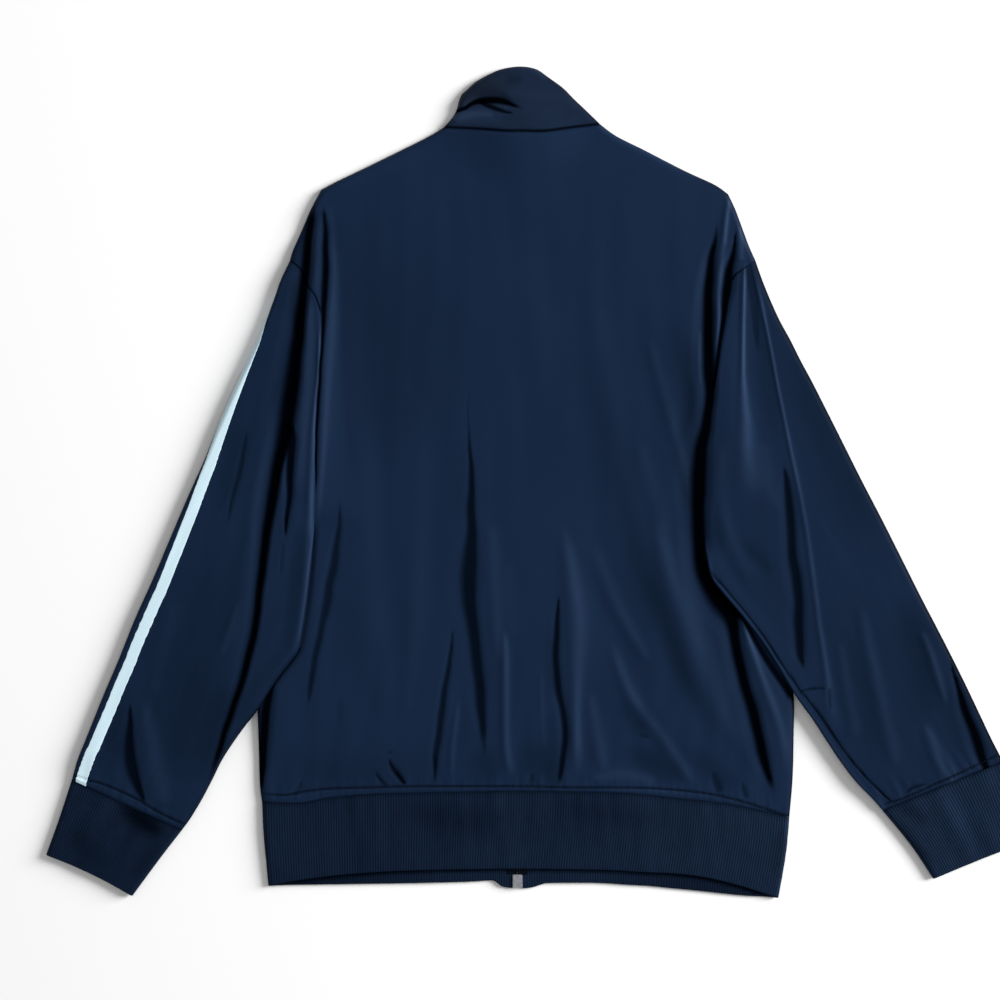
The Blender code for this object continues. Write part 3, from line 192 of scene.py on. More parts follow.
# ===================================================================== folds
# on: which pieces show it. b is the back, l and r the sleeves, c the collar.
# A capital means only above the underarm.
# Crease rows: u, v, width of the dark bottom in squares, depth in mm.
# dark: how little light gets to the bottom.  lean: 1 is steep on the right
# and soft on the left, -1 the other way, 0 even.
Crease = namedtuple("Crease", "on dark lean rows")
CREASES = [
    # the deep crease down the left sleeve, from the shoulder to the inner edge
    Crease("Bl", 0.95, 0.8, [(314, 203, 3, 0.8), (312, 216, 6.5, 3.0), (309.5, 230, 8, 4.4), (307.5, 250, 8.4, 5.2), (305.5, 270, 8.6, 5.5), (303.5, 290, 9, 5.5), (301, 310, 10, 5.5), (299, 330, 11.5, 5.5), (296, 355, 13.5, 5.5), (292.5, 382, 15.5, 5.5), (289.5, 402, 16, 5.5), (287, 422, 15.5, 5.5), (283.5, 440, 14, 5), (279.5, 458, 12, 5), (276, 478, 11, 5), (272, 500, 10.5, 5), (268.5, 522, 9.5, 4.5), (265, 548, 8, 4.5), (262, 572, 7.5, 4.5), (259, 598, 6.5, 4), (255.5, 628, 6.5, 4), (250.5, 650, 6.5, 4), (242.5, 680, 6, 3.5), (234, 706, 5.5, 3.2), (225, 732, 5, 2.8), (217.5, 757, 4.5, 2.2), (210, 778, 2.5, 1.5)]),
    Crease("l", 0.90, 0.3, [(293, 424, 3, 1), (292, 440, 9, 2.5), (291, 456, 8.5, 2.5), (290.5, 475, 7, 2.5), (290, 492, 6, 2), (288.5, 507, 5, 1.6), (287, 520, 4.2, 1.2), (286.5, 536, 2, 0.6)]),
    Crease("l", 0.25, 0, [(284, 545, 1.5, 0.3), (282, 560, 3, 0.6), (281, 575, 1.5, 0.3)]),
    Crease("l", 0.38, 0.5, [(247, 432, 2, 0.5), (243, 455, 3.5, 1.1), (238, 478, 3.5, 1.2), (232, 500, 3, 1.0), (229, 522, 1.5, 0.4)]),
    Crease("l", 0.80, 0.7, [(131, 704, 2, 0.5), (130.5, 722, 5, 1.4), (129.5, 738, 8, 2), (130, 755, 11, 2.6), (132.5, 768, 11.5, 2.8), (136, 780, 9.5, 2.4), (140.5, 793, 6, 1.5), (144, 801, 2.5, 0.8)]),

    # beside the left armhole
    Crease("Bl", 0.95, 0.3, [(324, 207, 2, 0.5), (325, 222, 4.4, 1.8), (325.8, 240, 6, 2.8), (325.8, 270, 7, 3.2), (325, 295, 6.6, 2.9), (323.8, 312, 5.2, 2.5), (323.3, 330, 3.6, 1.8), (322, 352, 2.8, 1.4), (320.5, 375, 2.8, 1.4), (318.5, 400, 3, 1.4), (317, 430, 2.6, 1.3), (316.2, 465, 2.2, 1.0), (316, 492, 1.4, 0.6)]),
    Crease("b", 0.62, 0.4, [(341, 504, 2, 0.4), (339, 528, 4, 1.0), (335.8, 550, 6, 1.6), (333.2, 568, 7.5, 1.8), (329.8, 582, 7, 1.8), (327.5, 600, 8, 1.8), (324.3, 615, 6.5, 1.6), (321, 628, 5.5, 1.4), (318, 645, 6, 1.2), (314, 665, 5.5, 1.0), (311, 684, 5, 0.8), (308.5, 704, 2, 0.3)]),
    Crease("b", 0.80, 0, [(301, 647, 1.5, 0.3), (295, 657, 2.6, 0.6), (288, 666, 3.2, 0.8), (280, 676, 3.8, 0.8), (272, 687, 4, 0.8)]),
    Crease("b", 0.96, 0.2, [(273.5, 682, 4, 2.0), (269, 696, 8, 3.0), (266, 712, 9.5, 3.2), (264.3, 730, 9.5, 3.0), (263.5, 748, 9, 2.8), (262.6, 764, 7.5, 2.2), (262, 778, 4.5, 1.2), (262, 790, 2.6, 0.6)]),
    # troughs down the middle of the back
    Crease("b", 0.78, 0.5, [(468, 374, 0.6, 0.1), (468, 400, 1.3, 0.2), (468.6, 425, 2.0, 0.3), (470, 450, 3.2, 0.6), (471.2, 470, 4.8, 0.9), (471.9, 490, 6.4, 1.1), (471.2, 506, 8, 1.3), (471.8, 530, 9.5, 1.6), (470.5, 555, 14, 2.0), (469.3, 580, 16, 2.2), (469.6, 600, 14, 2.2), (472.6, 625, 11.5, 2.2), (476, 650, 10.5, 2.2), (478.6, 675, 10.5, 2.2), (480.5, 700, 9.5, 2.0), (482.5, 722, 7.5, 1.6), (485, 752, 3, 0.6)]),
    Crease("b", 0.70, 0.2, [(453, 630, 1.5, 0.3), (450.5, 655, 4, 0.9), (446.5, 680, 5, 1.3), (442.5, 705, 6.2, 1.4), (439.5, 730, 6.4, 1.4), (436.5, 752, 6, 1.2), (435, 782, 3, 0.6)]),
    Crease("b", 0.82, 0.3, [(558.5, 595, 1.5, 0.3), (557.5, 620, 4.5, 1.1), (556, 645, 6, 1.4), (556.5, 670, 6.5, 1.5), (558.8, 690, 7, 1.5), (563, 712, 6, 1.5), (565.2, 735, 6, 1.5), (564, 752, 6, 1.3), (561.8, 766, 5.5, 1.0), (559, 783, 3.5, 0.7)]),
    # the valley down the right armhole, which runs on along the body's right side
    Crease("bR", 0.97, 0.5, [(717.5, 222, 1.5, 0.6), (715.5, 238, 4, 2.4), (712, 255, 6.5, 3.6), (709.5, 275, 8.5, 4.6), (708.5, 295, 10, 5), (708, 320, 11, 5.2), (708, 345, 11.5, 5.4), (709, 370, 12, 5.4), (710, 390, 10.5, 5.2), (708.5, 408, 9.5, 5), (705.5, 428, 11, 5), (701.5, 448, 14, 5.4), (699.5, 468, 15.5, 5.8), (698.5, 490, 16, 6), (698.5, 515, 14.5, 6), (699, 540, 14, 6), (700.5, 558, 14, 5.6), (704, 574, 15, 5), (711, 588, 18, 4.6), (719, 600, 20, 4.4), (728, 611, 20, 4.4), (732.5, 624, 14, 4.2), (735, 640, 11, 4), (738, 657, 11, 4), (742.5, 675, 10.5, 4), (747, 692, 11, 3.8), (753, 712, 11.5, 3.6), (758.5, 735, 11, 3.4), (762.5, 754, 10.5, 3), (767.5, 771, 8, 2.2), (771.5, 784, 5.5, 1.4), (775, 794, 2, 0.6)]),
    Crease("bR", 0.97, 0.3, [(736.5, 230, 1.2, 0.5), (734.5, 244, 3, 1.4), (731.8, 259, 6, 2.4), (728.8, 274, 9.5, 3.2), (727, 289, 10, 3.2), (725.2, 303, 7.8, 2.8), (723, 320, 5.2, 2.2), (720.6, 338, 4.2, 1.8), (718.2, 354, 3.8, 1.6), (716, 372, 3.6, 1.4), (714, 390, 3, 0.9)]),
    # under the right sleeve's lower edge
    Crease("b", 0.96, -0.4, [(703, 562, 5, 0.6), (711, 576, 12, 1.5), (721, 588, 19, 2.0), (731, 600, 20, 2.0), (738, 611, 13, 1.5), (743, 619, 5, 0.6)]),
    Crease("b", 0.88, 0, [(741, 615, 2, 0.6), (748, 627, 4, 1.0), (756, 642, 5, 1.2), (766, 659, 6, 1.4), (776, 674, 6.5, 1.4), (785, 687, 7, 1.4), (791, 698, 6, 0.8)]),
    # right sleeve
    Crease("r", 0.40, 0.2, [(746, 250, 2, 0.3), (748, 262, 5, 0.7), (750.5, 276, 8, 0.8), (752.5, 292, 9, 0.6), (754.5, 310, 8, 0.5), (756, 330, 6, 0.3), (758, 352, 2, 0.1)]),
    Crease("r", 0.78, 0.5, [(784, 466, 2, 0.4), (786, 480, 5, 1.2), (788.5, 500, 7.5, 1.8), (790, 520, 8.5, 2.0), (791.3, 540, 8.5, 2.0), (792.5, 560, 9, 2.1), (796.3, 580, 9.5, 2.4), (798.5, 600, 9.5, 2.4), (798.3, 620, 9.5, 2.4), (799, 640, 8.5, 2.2), (800.5, 655, 6.5, 1.8), (804, 667, 3, 0.6)]),
    Crease("r", 0.60, 0, [(801, 691, 1.5, 0.3), (811, 688.5, 2.8, 0.7), (825, 688, 1.6, 0.3)]),
    Crease("r", 0.40, 0, [(829, 688, 2, 0.4), (829, 698, 3.5, 0.8), (830, 708, 2, 0.3)]),
    Crease("r", 0.94, 0.5, [(950, 660, 1.5, 0.5), (956, 682, 4, 1.4), (961.5, 700, 6.5, 2.4), (967, 716, 8, 2.8), (973, 731, 9, 3.0), (978.5, 746, 9.5, 3.0), (983.5, 761, 8, 2.4), (989, 775, 4, 1.2)]),
    Crease("r", 0.55, 0, [(907, 792, 2.5, 0.6), (912, 788, 4, 1.0), (925, 784, 2, 0.5)]),
    # gathers above the waistband
    Crease("b", 0.9, 0.4, [(389, 760, 1.5, 0.6), (393, 768, 4, 1.6), (399, 776, 4.5, 1.8), (405, 784, 3, 1.2)]),
    Crease("b", 0.6, 0.2, [(376, 773, 2, 0.6), (381, 780, 3.5, 1.2), (387, 786, 2.5, 0.8)]),
    Crease("b", 0.35, 0, [(388, 753, 1.5, 0.4), (397, 750, 1.5, 0.4)]),
    Crease("b", 0.5, 0, [(434, 754, 3, 0.6), (435, 762, 4, 0.9), (434, 772, 2, 0.4)]),
    Crease("b", 0.35, 0, [(302, 781, 2, 0.5), (299, 788, 4, 1.0), (296, 795, 4, 1.0)]),
    Crease("b", 0.30, 0, [(637, 733, 1.5, 0.2), (644, 736, 2.5, 0.4), (652, 735, 1.5, 0.2)]),
    Crease("b", 0.42, 0.2, [(713, 772, 3, 0.6), (716, 782, 6, 1.3), (719, 792, 6, 1.2)]),
    Crease("b", 0.42, 0.2, [(742, 783, 2, 0.5), (744, 791, 4, 1.1), (746, 798, 4, 1.0)]),
    Crease("b", 0.30, 0.0, [(532, 775, 3, 0.5), (531, 783, 5, 0.9)]),
    # seams
    Crease("Bl", 0.80, 0, [(290.5, 261, 1.6, 0.4), (300, 268.5, 1.6, 0.5), (309, 287, 1.6, 0.5), (316, 297, 1.8, 0.5), (321, 312, 2.2, 0.6)]),
    Crease("Br", 0.80, 0, [(747, 266, 0.8, 0.1), (742, 270, 1.7, 0.5), (736, 274, 2.3, 0.6), (732, 280, 2.5, 0.6)]),
    Crease("r", 0.86, 0, [(711.5, 572, 1.8, 0.4), (717, 579.5, 2.0, 0.5), (727, 590.5, 2.2, 0.5), (734.5, 599.5, 2.2, 0.5), (744, 610.5, 2.2, 0.5), (752, 621, 2.2, 0.5), (766, 640, 2.2, 0.5), (779.5, 661, 2.2, 0.5), (800, 690, 2.2, 0.5), (817, 711, 2.2, 0.5), (832, 733, 2.3, 0.6), (848, 756, 2.3, 0.6), (866, 777, 2.3, 0.6), (884, 795, 2.6, 0.6), (894, 803, 2.6, 0.6)]),
    Crease("b", 0.74, 0, [(262, 793.5, 2.2, 0.9), (285, 795, 2.2, 0.9), (307, 791, 2.2, 0.9), (333, 788.5, 2.2, 0.9), (370, 787.5, 2.2, 0.9), (405, 786.5, 2.2, 0.9), (470, 786.3, 2.2, 0.9), (530, 786.5, 2.2, 0.9), (570, 787.5, 2.2, 0.9), (610, 787.5, 2.2, 0.9), (650, 788.2, 2.2, 0.9), (690, 791.3, 2.2, 0.9), (720, 796, 2.2, 0.9), (752, 804.5, 2.2, 0.9), (781, 814, 2.2, 0.9), (792, 818, 2.2, 0.9)]),
    Crease("l", 0.76, 0, [(70, 773, 2.2, 0.9), (84, 779, 2.2, 0.9), (100, 783, 2.4, 1.0), (119, 790.5, 2.4, 1.0), (137, 799, 2.4, 1.0), (150, 807, 2.4, 1.0), (165, 815.5, 2.4, 1.0), (185, 824, 2.4, 1.0)]),
    Crease("r", 0.70, 0, [(884, 804, 2.2, 0.9), (900, 799.5, 2.4, 1.0), (920, 791, 2.4, 1.0), (933, 785, 2.4, 1.0), (950, 777.5, 2.4, 1.0), (968, 769, 2.2, 0.9), (985, 761, 2.2, 0.9), (1004, 752, 2.2, 0.9)]),
    # collar
    Crease("c", 0.96, 0, [(454, 113, 2.5, 0.8), (459, 110.5, 4, 1.4), (465, 108.5, 4, 1.8), (471, 104.5, 4.5, 2.4), (479, 101.5, 6.5, 2.8), (488, 100.8, 7.5, 3.0), (498, 101, 7.5, 3.0), (505, 102.5, 6.5, 2.4), (511, 105, 4.5, 1.4), (517, 107.5, 3, 0.6), (523, 109, 2, 0.2)]),
    Crease("c", 0.84, 0, [(479, 102, 3, 0.8), (485, 105, 5, 1.4), (492, 108, 5, 1.4), (499, 110.8, 4, 1.2), (506, 113, 2.8, 0.8), (513, 114, 1.5, 0.2)]),
]

# Broad soft hollows and painted shade, where the cloth lies away from the light; a negative dark paints light instead.
# Here h is the waistband, and x and y are the left and right cuffs.
# Rows: u, v, width in squares, depth in mm.
PaintedShade = namedtuple("PaintedShade", "on dark rows")
PAINTED_SHADES = [
    PaintedShade("l", 0.09, [(170, 605, 14, 0.0), (167, 650, 22, 0.1), (160, 692, 18, 0.0)]),
    PaintedShade("l", 0.22, [(292, 270, 8, 0.0), (295, 300, 12, 0.0), (296, 340, 8, 0.0)]),
    PaintedShade("b", 0.08, [(458, 430, 14, 0.0), (460, 480, 22, 0.1), (460, 530, 14, 0.0)]),
    PaintedShade("b", 0.08, [(550, 705, 18, 0.0), (550, 745, 28, 0.1), (548, 778, 16, 0.0)]),
    PaintedShade("l", 0.19, [(226, 500, 60, 0.3), (214, 570, 66, 0.5), (198, 640, 74, 0.6), (180, 700, 80, 0.6), (166, 760, 80, 0.4), (158, 815, 70, 0.2)]),
    PaintedShade("l", 0.20, [(242, 420, 20, 0.0), (233, 465, 28, 0.2), (222, 520, 22, 0.0)]),
    PaintedShade("l", -0.40, [(317.5, 360, 4, 0.0), (315.5, 405, 5, 0.0), (313.5, 450, 7, 0.0), (312, 490, 8, 0.0), (311.5, 520, 8, 0.0), (310.5, 550, 6, 0.0)]),
    PaintedShade("l", -0.10, [(250, 590, 8, 0.0), (240, 650, 9, 0.0), (228, 700, 8, 0.0)]),
    PaintedShade("l", 0.20, [(230, 676, 22, 0.0), (216, 725, 32, 0.2), (203, 785, 28, 0.0)]),
    PaintedShade("Bl", 0.32, [(306, 226, 8, 0.0), (300, 246, 12, 0.0), (294, 262, 12, 0.0), (290, 276, 8, 0.0)]),
    PaintedShade("Bl", 0.10, [(298, 250, 16, 0.0), (290, 285, 26, 0.0), (280, 320, 24, 0.0)]),
    PaintedShade("l", 0.14, [(210, 640, 50, 0.3), (196, 700, 56, 0.6), (184, 750, 60, 0.6), (172, 800, 60, 0.2)]),
    PaintedShade("l", 0.27, [(122, 676, 18, 0.2), (116, 715, 28, 0.5), (112, 748, 30, 0.5), (112, 776, 20, 0.2)]),
    PaintedShade("Bl", 0.10, [(296, 240, 20, 0.0), (284, 300, 44, 0.0), (264, 370, 56, 0.0), (246, 430, 60, 0.0), (228, 500, 50, 0.0)]),
    PaintedShade("r", 0.09, [(838, 560, 50, 0.3), (850, 640, 60, 0.6), (862, 700, 60, 0.7), (876, 770, 50, 0.3)]),
    PaintedShade("r", 0.26, [(898, 590, 30, 0.2), (914, 640, 32, 0.6), (924, 690, 30, 0.7), (928, 730, 24, 0.3)]),
    PaintedShade("r", 0.18, [(934, 676, 16, 0.2), (950, 706, 26, 0.5), (962, 736, 28, 0.5), (972, 762, 22, 0.2)]),
    PaintedShade("r", 0.13, [(757, 300, 10, 0.1), (759, 330, 16, 0.4), (763, 370, 20, 0.5), (770, 410, 18, 0.4), (776, 446, 10, 0.1)]),
    PaintedShade("r", 0.20, [(784, 330, 20, 0.1), (800, 380, 30, 0.4), (830, 450, 40, 0.4), (865, 520, 44, 0.4), (890, 580, 30, 0.2)]),
    PaintedShade("r", 0.20, [(736, 536, 10, 0.1), (752, 552, 14, 0.4), (764, 566, 12, 0.4), (772, 580, 8, 0.1)]),
    PaintedShade("r", -0.30, [(738, 262, 14, 0.0), (738, 330, 22, 0.0), (742, 390, 30, 0.0), (748, 450, 30, 0.0), (756, 500, 20, 0.0)]),
    PaintedShade("r", -0.11, [(713, 440, 12, 0.0), (712, 500, 16, 0.0), (716, 552, 13, 0.0), (728, 584, 8, 0.0)]),
    PaintedShade("r", -0.12, [(786, 420, 9, 0.0), (793, 455, 11, 0.0), (800, 495, 10, 0.0)]),
    PaintedShade("r", -0.16, [(816, 630, 12, 0.0), (828, 690, 20, 0.0), (842, 742, 16, 0.0)]),
    PaintedShade("b", 0.14, [(268, 752, 36, 0.1), (320, 772, 40, 0.2), (390, 772, 40, 0.2), (450, 772, 36, 0.1)]),
    PaintedShade("b", 0.20, [(474, 746, 20, 0.1), (484, 766, 30, 0.3), (500, 782, 24, 0.2)]),
    PaintedShade("b", 0.27, [(520, 738, 22, 0.1), (536, 758, 38, 0.3), (550, 772, 34, 0.3), (566, 786, 20, 0.1)]),
    PaintedShade("b", 0.22, [(549, 622, 7, 0.1), (550, 650, 9, 0.3), (551, 680, 9, 0.3), (554, 700, 7, 0.1)]),
    PaintedShade("b", 0.17, [(348, 190, 60, 0.2), (372, 300, 100, 0.4), (390, 400, 90, 0.4), (404, 480, 60, 0.2)]),
    PaintedShade("b", 0.10, [(450, 280, 26, 0.0), (454, 370, 34, 0.0), (456, 470, 24, 0.0)]),
    PaintedShade("b", -0.09, [(330, 186, 20, 0.0), (376, 166, 26, 0.0), (440, 146, 20, 0.0)]),
    PaintedShade("b", -0.09, [(604, 136, 20, 0.0), (660, 156, 28, 0.0), (722, 188, 20, 0.0)]),
    PaintedShade("b", 0.16, [(566, 320, 30, 0.0), (594, 400, 44, 0.0), (622, 480, 46, 0.0), (642, 570, 30, 0.0), (654, 640, 16, 0.0)]),
    PaintedShade("b", -0.08, [(566, 560, 26, 0.0), (590, 620, 40, 0.0), (606, 690, 30, 0.0)]),
    PaintedShade("b", 0.12, [(636, 292, 22, 0.2), (648, 350, 30, 0.8), (658, 400, 30, 0.9), (666, 446, 22, 0.3)]),
    PaintedShade("b", 0.24, [(666, 300, 16, 0.2), (677, 345, 24, 1.0), (686, 385, 24, 1.1), (693, 420, 18, 0.8), (699, 450, 10, 0.2)]),
    PaintedShade("b", 0.30, [(690, 330, 18, 0.1), (693, 400, 20, 0.1), (688, 450, 22, 0.1), (688, 500, 18, 0.0), (692, 555, 16, 0.0), (700, 600, 14, 0.0)]),
    PaintedShade("b", 0.14, [(716, 612, 10, 0.0), (722, 650, 14, 0.0), (730, 690, 10, 0.0)]),
    PaintedShade("b", 0.16, [(640, 700, 16, 0.0), (660, 730, 20, 0.0), (690, 770, 16, 0.0)]),
    PaintedShade("b", 0.34, [(630, 520, 14, 0.2), (640, 556, 24, 0.9), (651, 590, 27, 1.3), (663, 624, 25, 1.5), (675, 656, 23, 1.3), (688, 686, 20, 1.0), (702, 716, 16, 0.6), (714, 746, 12, 0.2)]),
    PaintedShade("b", 0.12, [(596, 536, 18, 0.2), (612, 590, 26, 0.6), (632, 650, 26, 0.6), (646, 700, 18, 0.2)]),
    PaintedShade("b", 0.24, [(622, 694, 8, 0.1), (627, 712, 14, 0.6), (636, 728, 18, 0.8), (647, 740, 14, 0.3)]),
    PaintedShade("b", 0.33, [(624, 742, 12, 0.1), (640, 756, 24, 0.6), (658, 766, 26, 0.8), (674, 775, 18, 0.5), (688, 783, 10, 0.1)]),
    PaintedShade("b", 0.24, [(690, 742, 14, 0.1), (702, 762, 24, 0.4), (722, 780, 26, 0.4), (744, 792, 18, 0.1)]),
    PaintedShade("b", -0.18, [(596, 788, 8, 0.0), (640, 789, 10, 0.0), (690, 794, 8, 0.0)]),
    PaintedShade("b", 0.12, [(700, 640, 12, 0.1), (716, 690, 18, 0.5), (734, 740, 18, 0.6), (748, 778, 12, 0.2)]),
    PaintedShade("b", 0.16, [(341, 695, 4, 0.1), (340, 714, 6, 0.3), (338, 732, 4, 0.1)]),
    PaintedShade("c", 0.30, [(504, 80, 8, 0.1), (514, 80, 10, 0.2), (524, 78, 8, 0.1)]),
    PaintedShade("c", 0.24, [(470, 86, 14, 0.1), (480, 92, 24, 0.3), (494, 96, 22, 0.3), (512, 98, 16, 0.1)]),
    PaintedShade("c", 0.10, [(540, 90, 16, 0.1), (560, 104, 22, 0.2), (576, 118, 16, 0.1)]),
    PaintedShade("c", -0.60, [(442, 126, 16, 0.0), (462, 117, 19, 0.0), (484, 118, 17, 0.0), (512, 122, 12, 0.0)]),
    PaintedShade("x", 0.76, [(116, 802, 8, 0.0), (133, 814, 21, 0.0), (151, 826, 24, 0.0), (170, 838, 15, 0.0)]),
    PaintedShade("x", 0.26, [(66, 822, 18, 0.0), (88, 848, 32, 0.0), (112, 874, 26, 0.0)]),
    PaintedShade("x", 0.22, [(128, 876, 10, 0.0), (146, 862, 22, 0.0), (166, 844, 14, 0.0)]),
    PaintedShade("y", 0.34, [(896, 812, 9, 0.0), (908, 832, 11, 0.0), (922, 852, 11, 0.0), (936, 872, 9, 0.0)]),
    PaintedShade("y", 0.32, [(888, 810, 9, 0.0), (908, 810, 15, 0.0), (936, 826, 14, 0.0)]),
    PaintedShade("y", -0.12, [(930, 800, 20, 0.0), (962, 812, 34, 0.0), (1000, 820, 30, 0.0)]),
    PaintedShade("h", 0.27, [(392, 800, 16, 0.0), (426, 815, 32, 0.0), (476, 822, 28, 0.0), (512, 812, 14, 0.0)]),
    PaintedShade("h", 0.21, [(548, 800, 14, 0.0), (582, 810, 30, 0.0), (626, 816, 26, 0.0), (680, 830, 20, 0.0)]),
    PaintedShade("h", 0.22, [(780, 826, 12, 0.0), (782, 850, 18, 0.0), (778, 884, 14, 0.0)]),
    PaintedShade("h", -0.10, [(380, 858, 22, 0.0), (480, 858, 28, 0.0), (600, 858, 28, 0.0), (780, 872, 24, 0.0)]),
    PaintedShade("h", -0.12, [(284, 800, 44, 0.0), (286, 838, 56, 0.0), (288, 880, 44, 0.0)]),
]
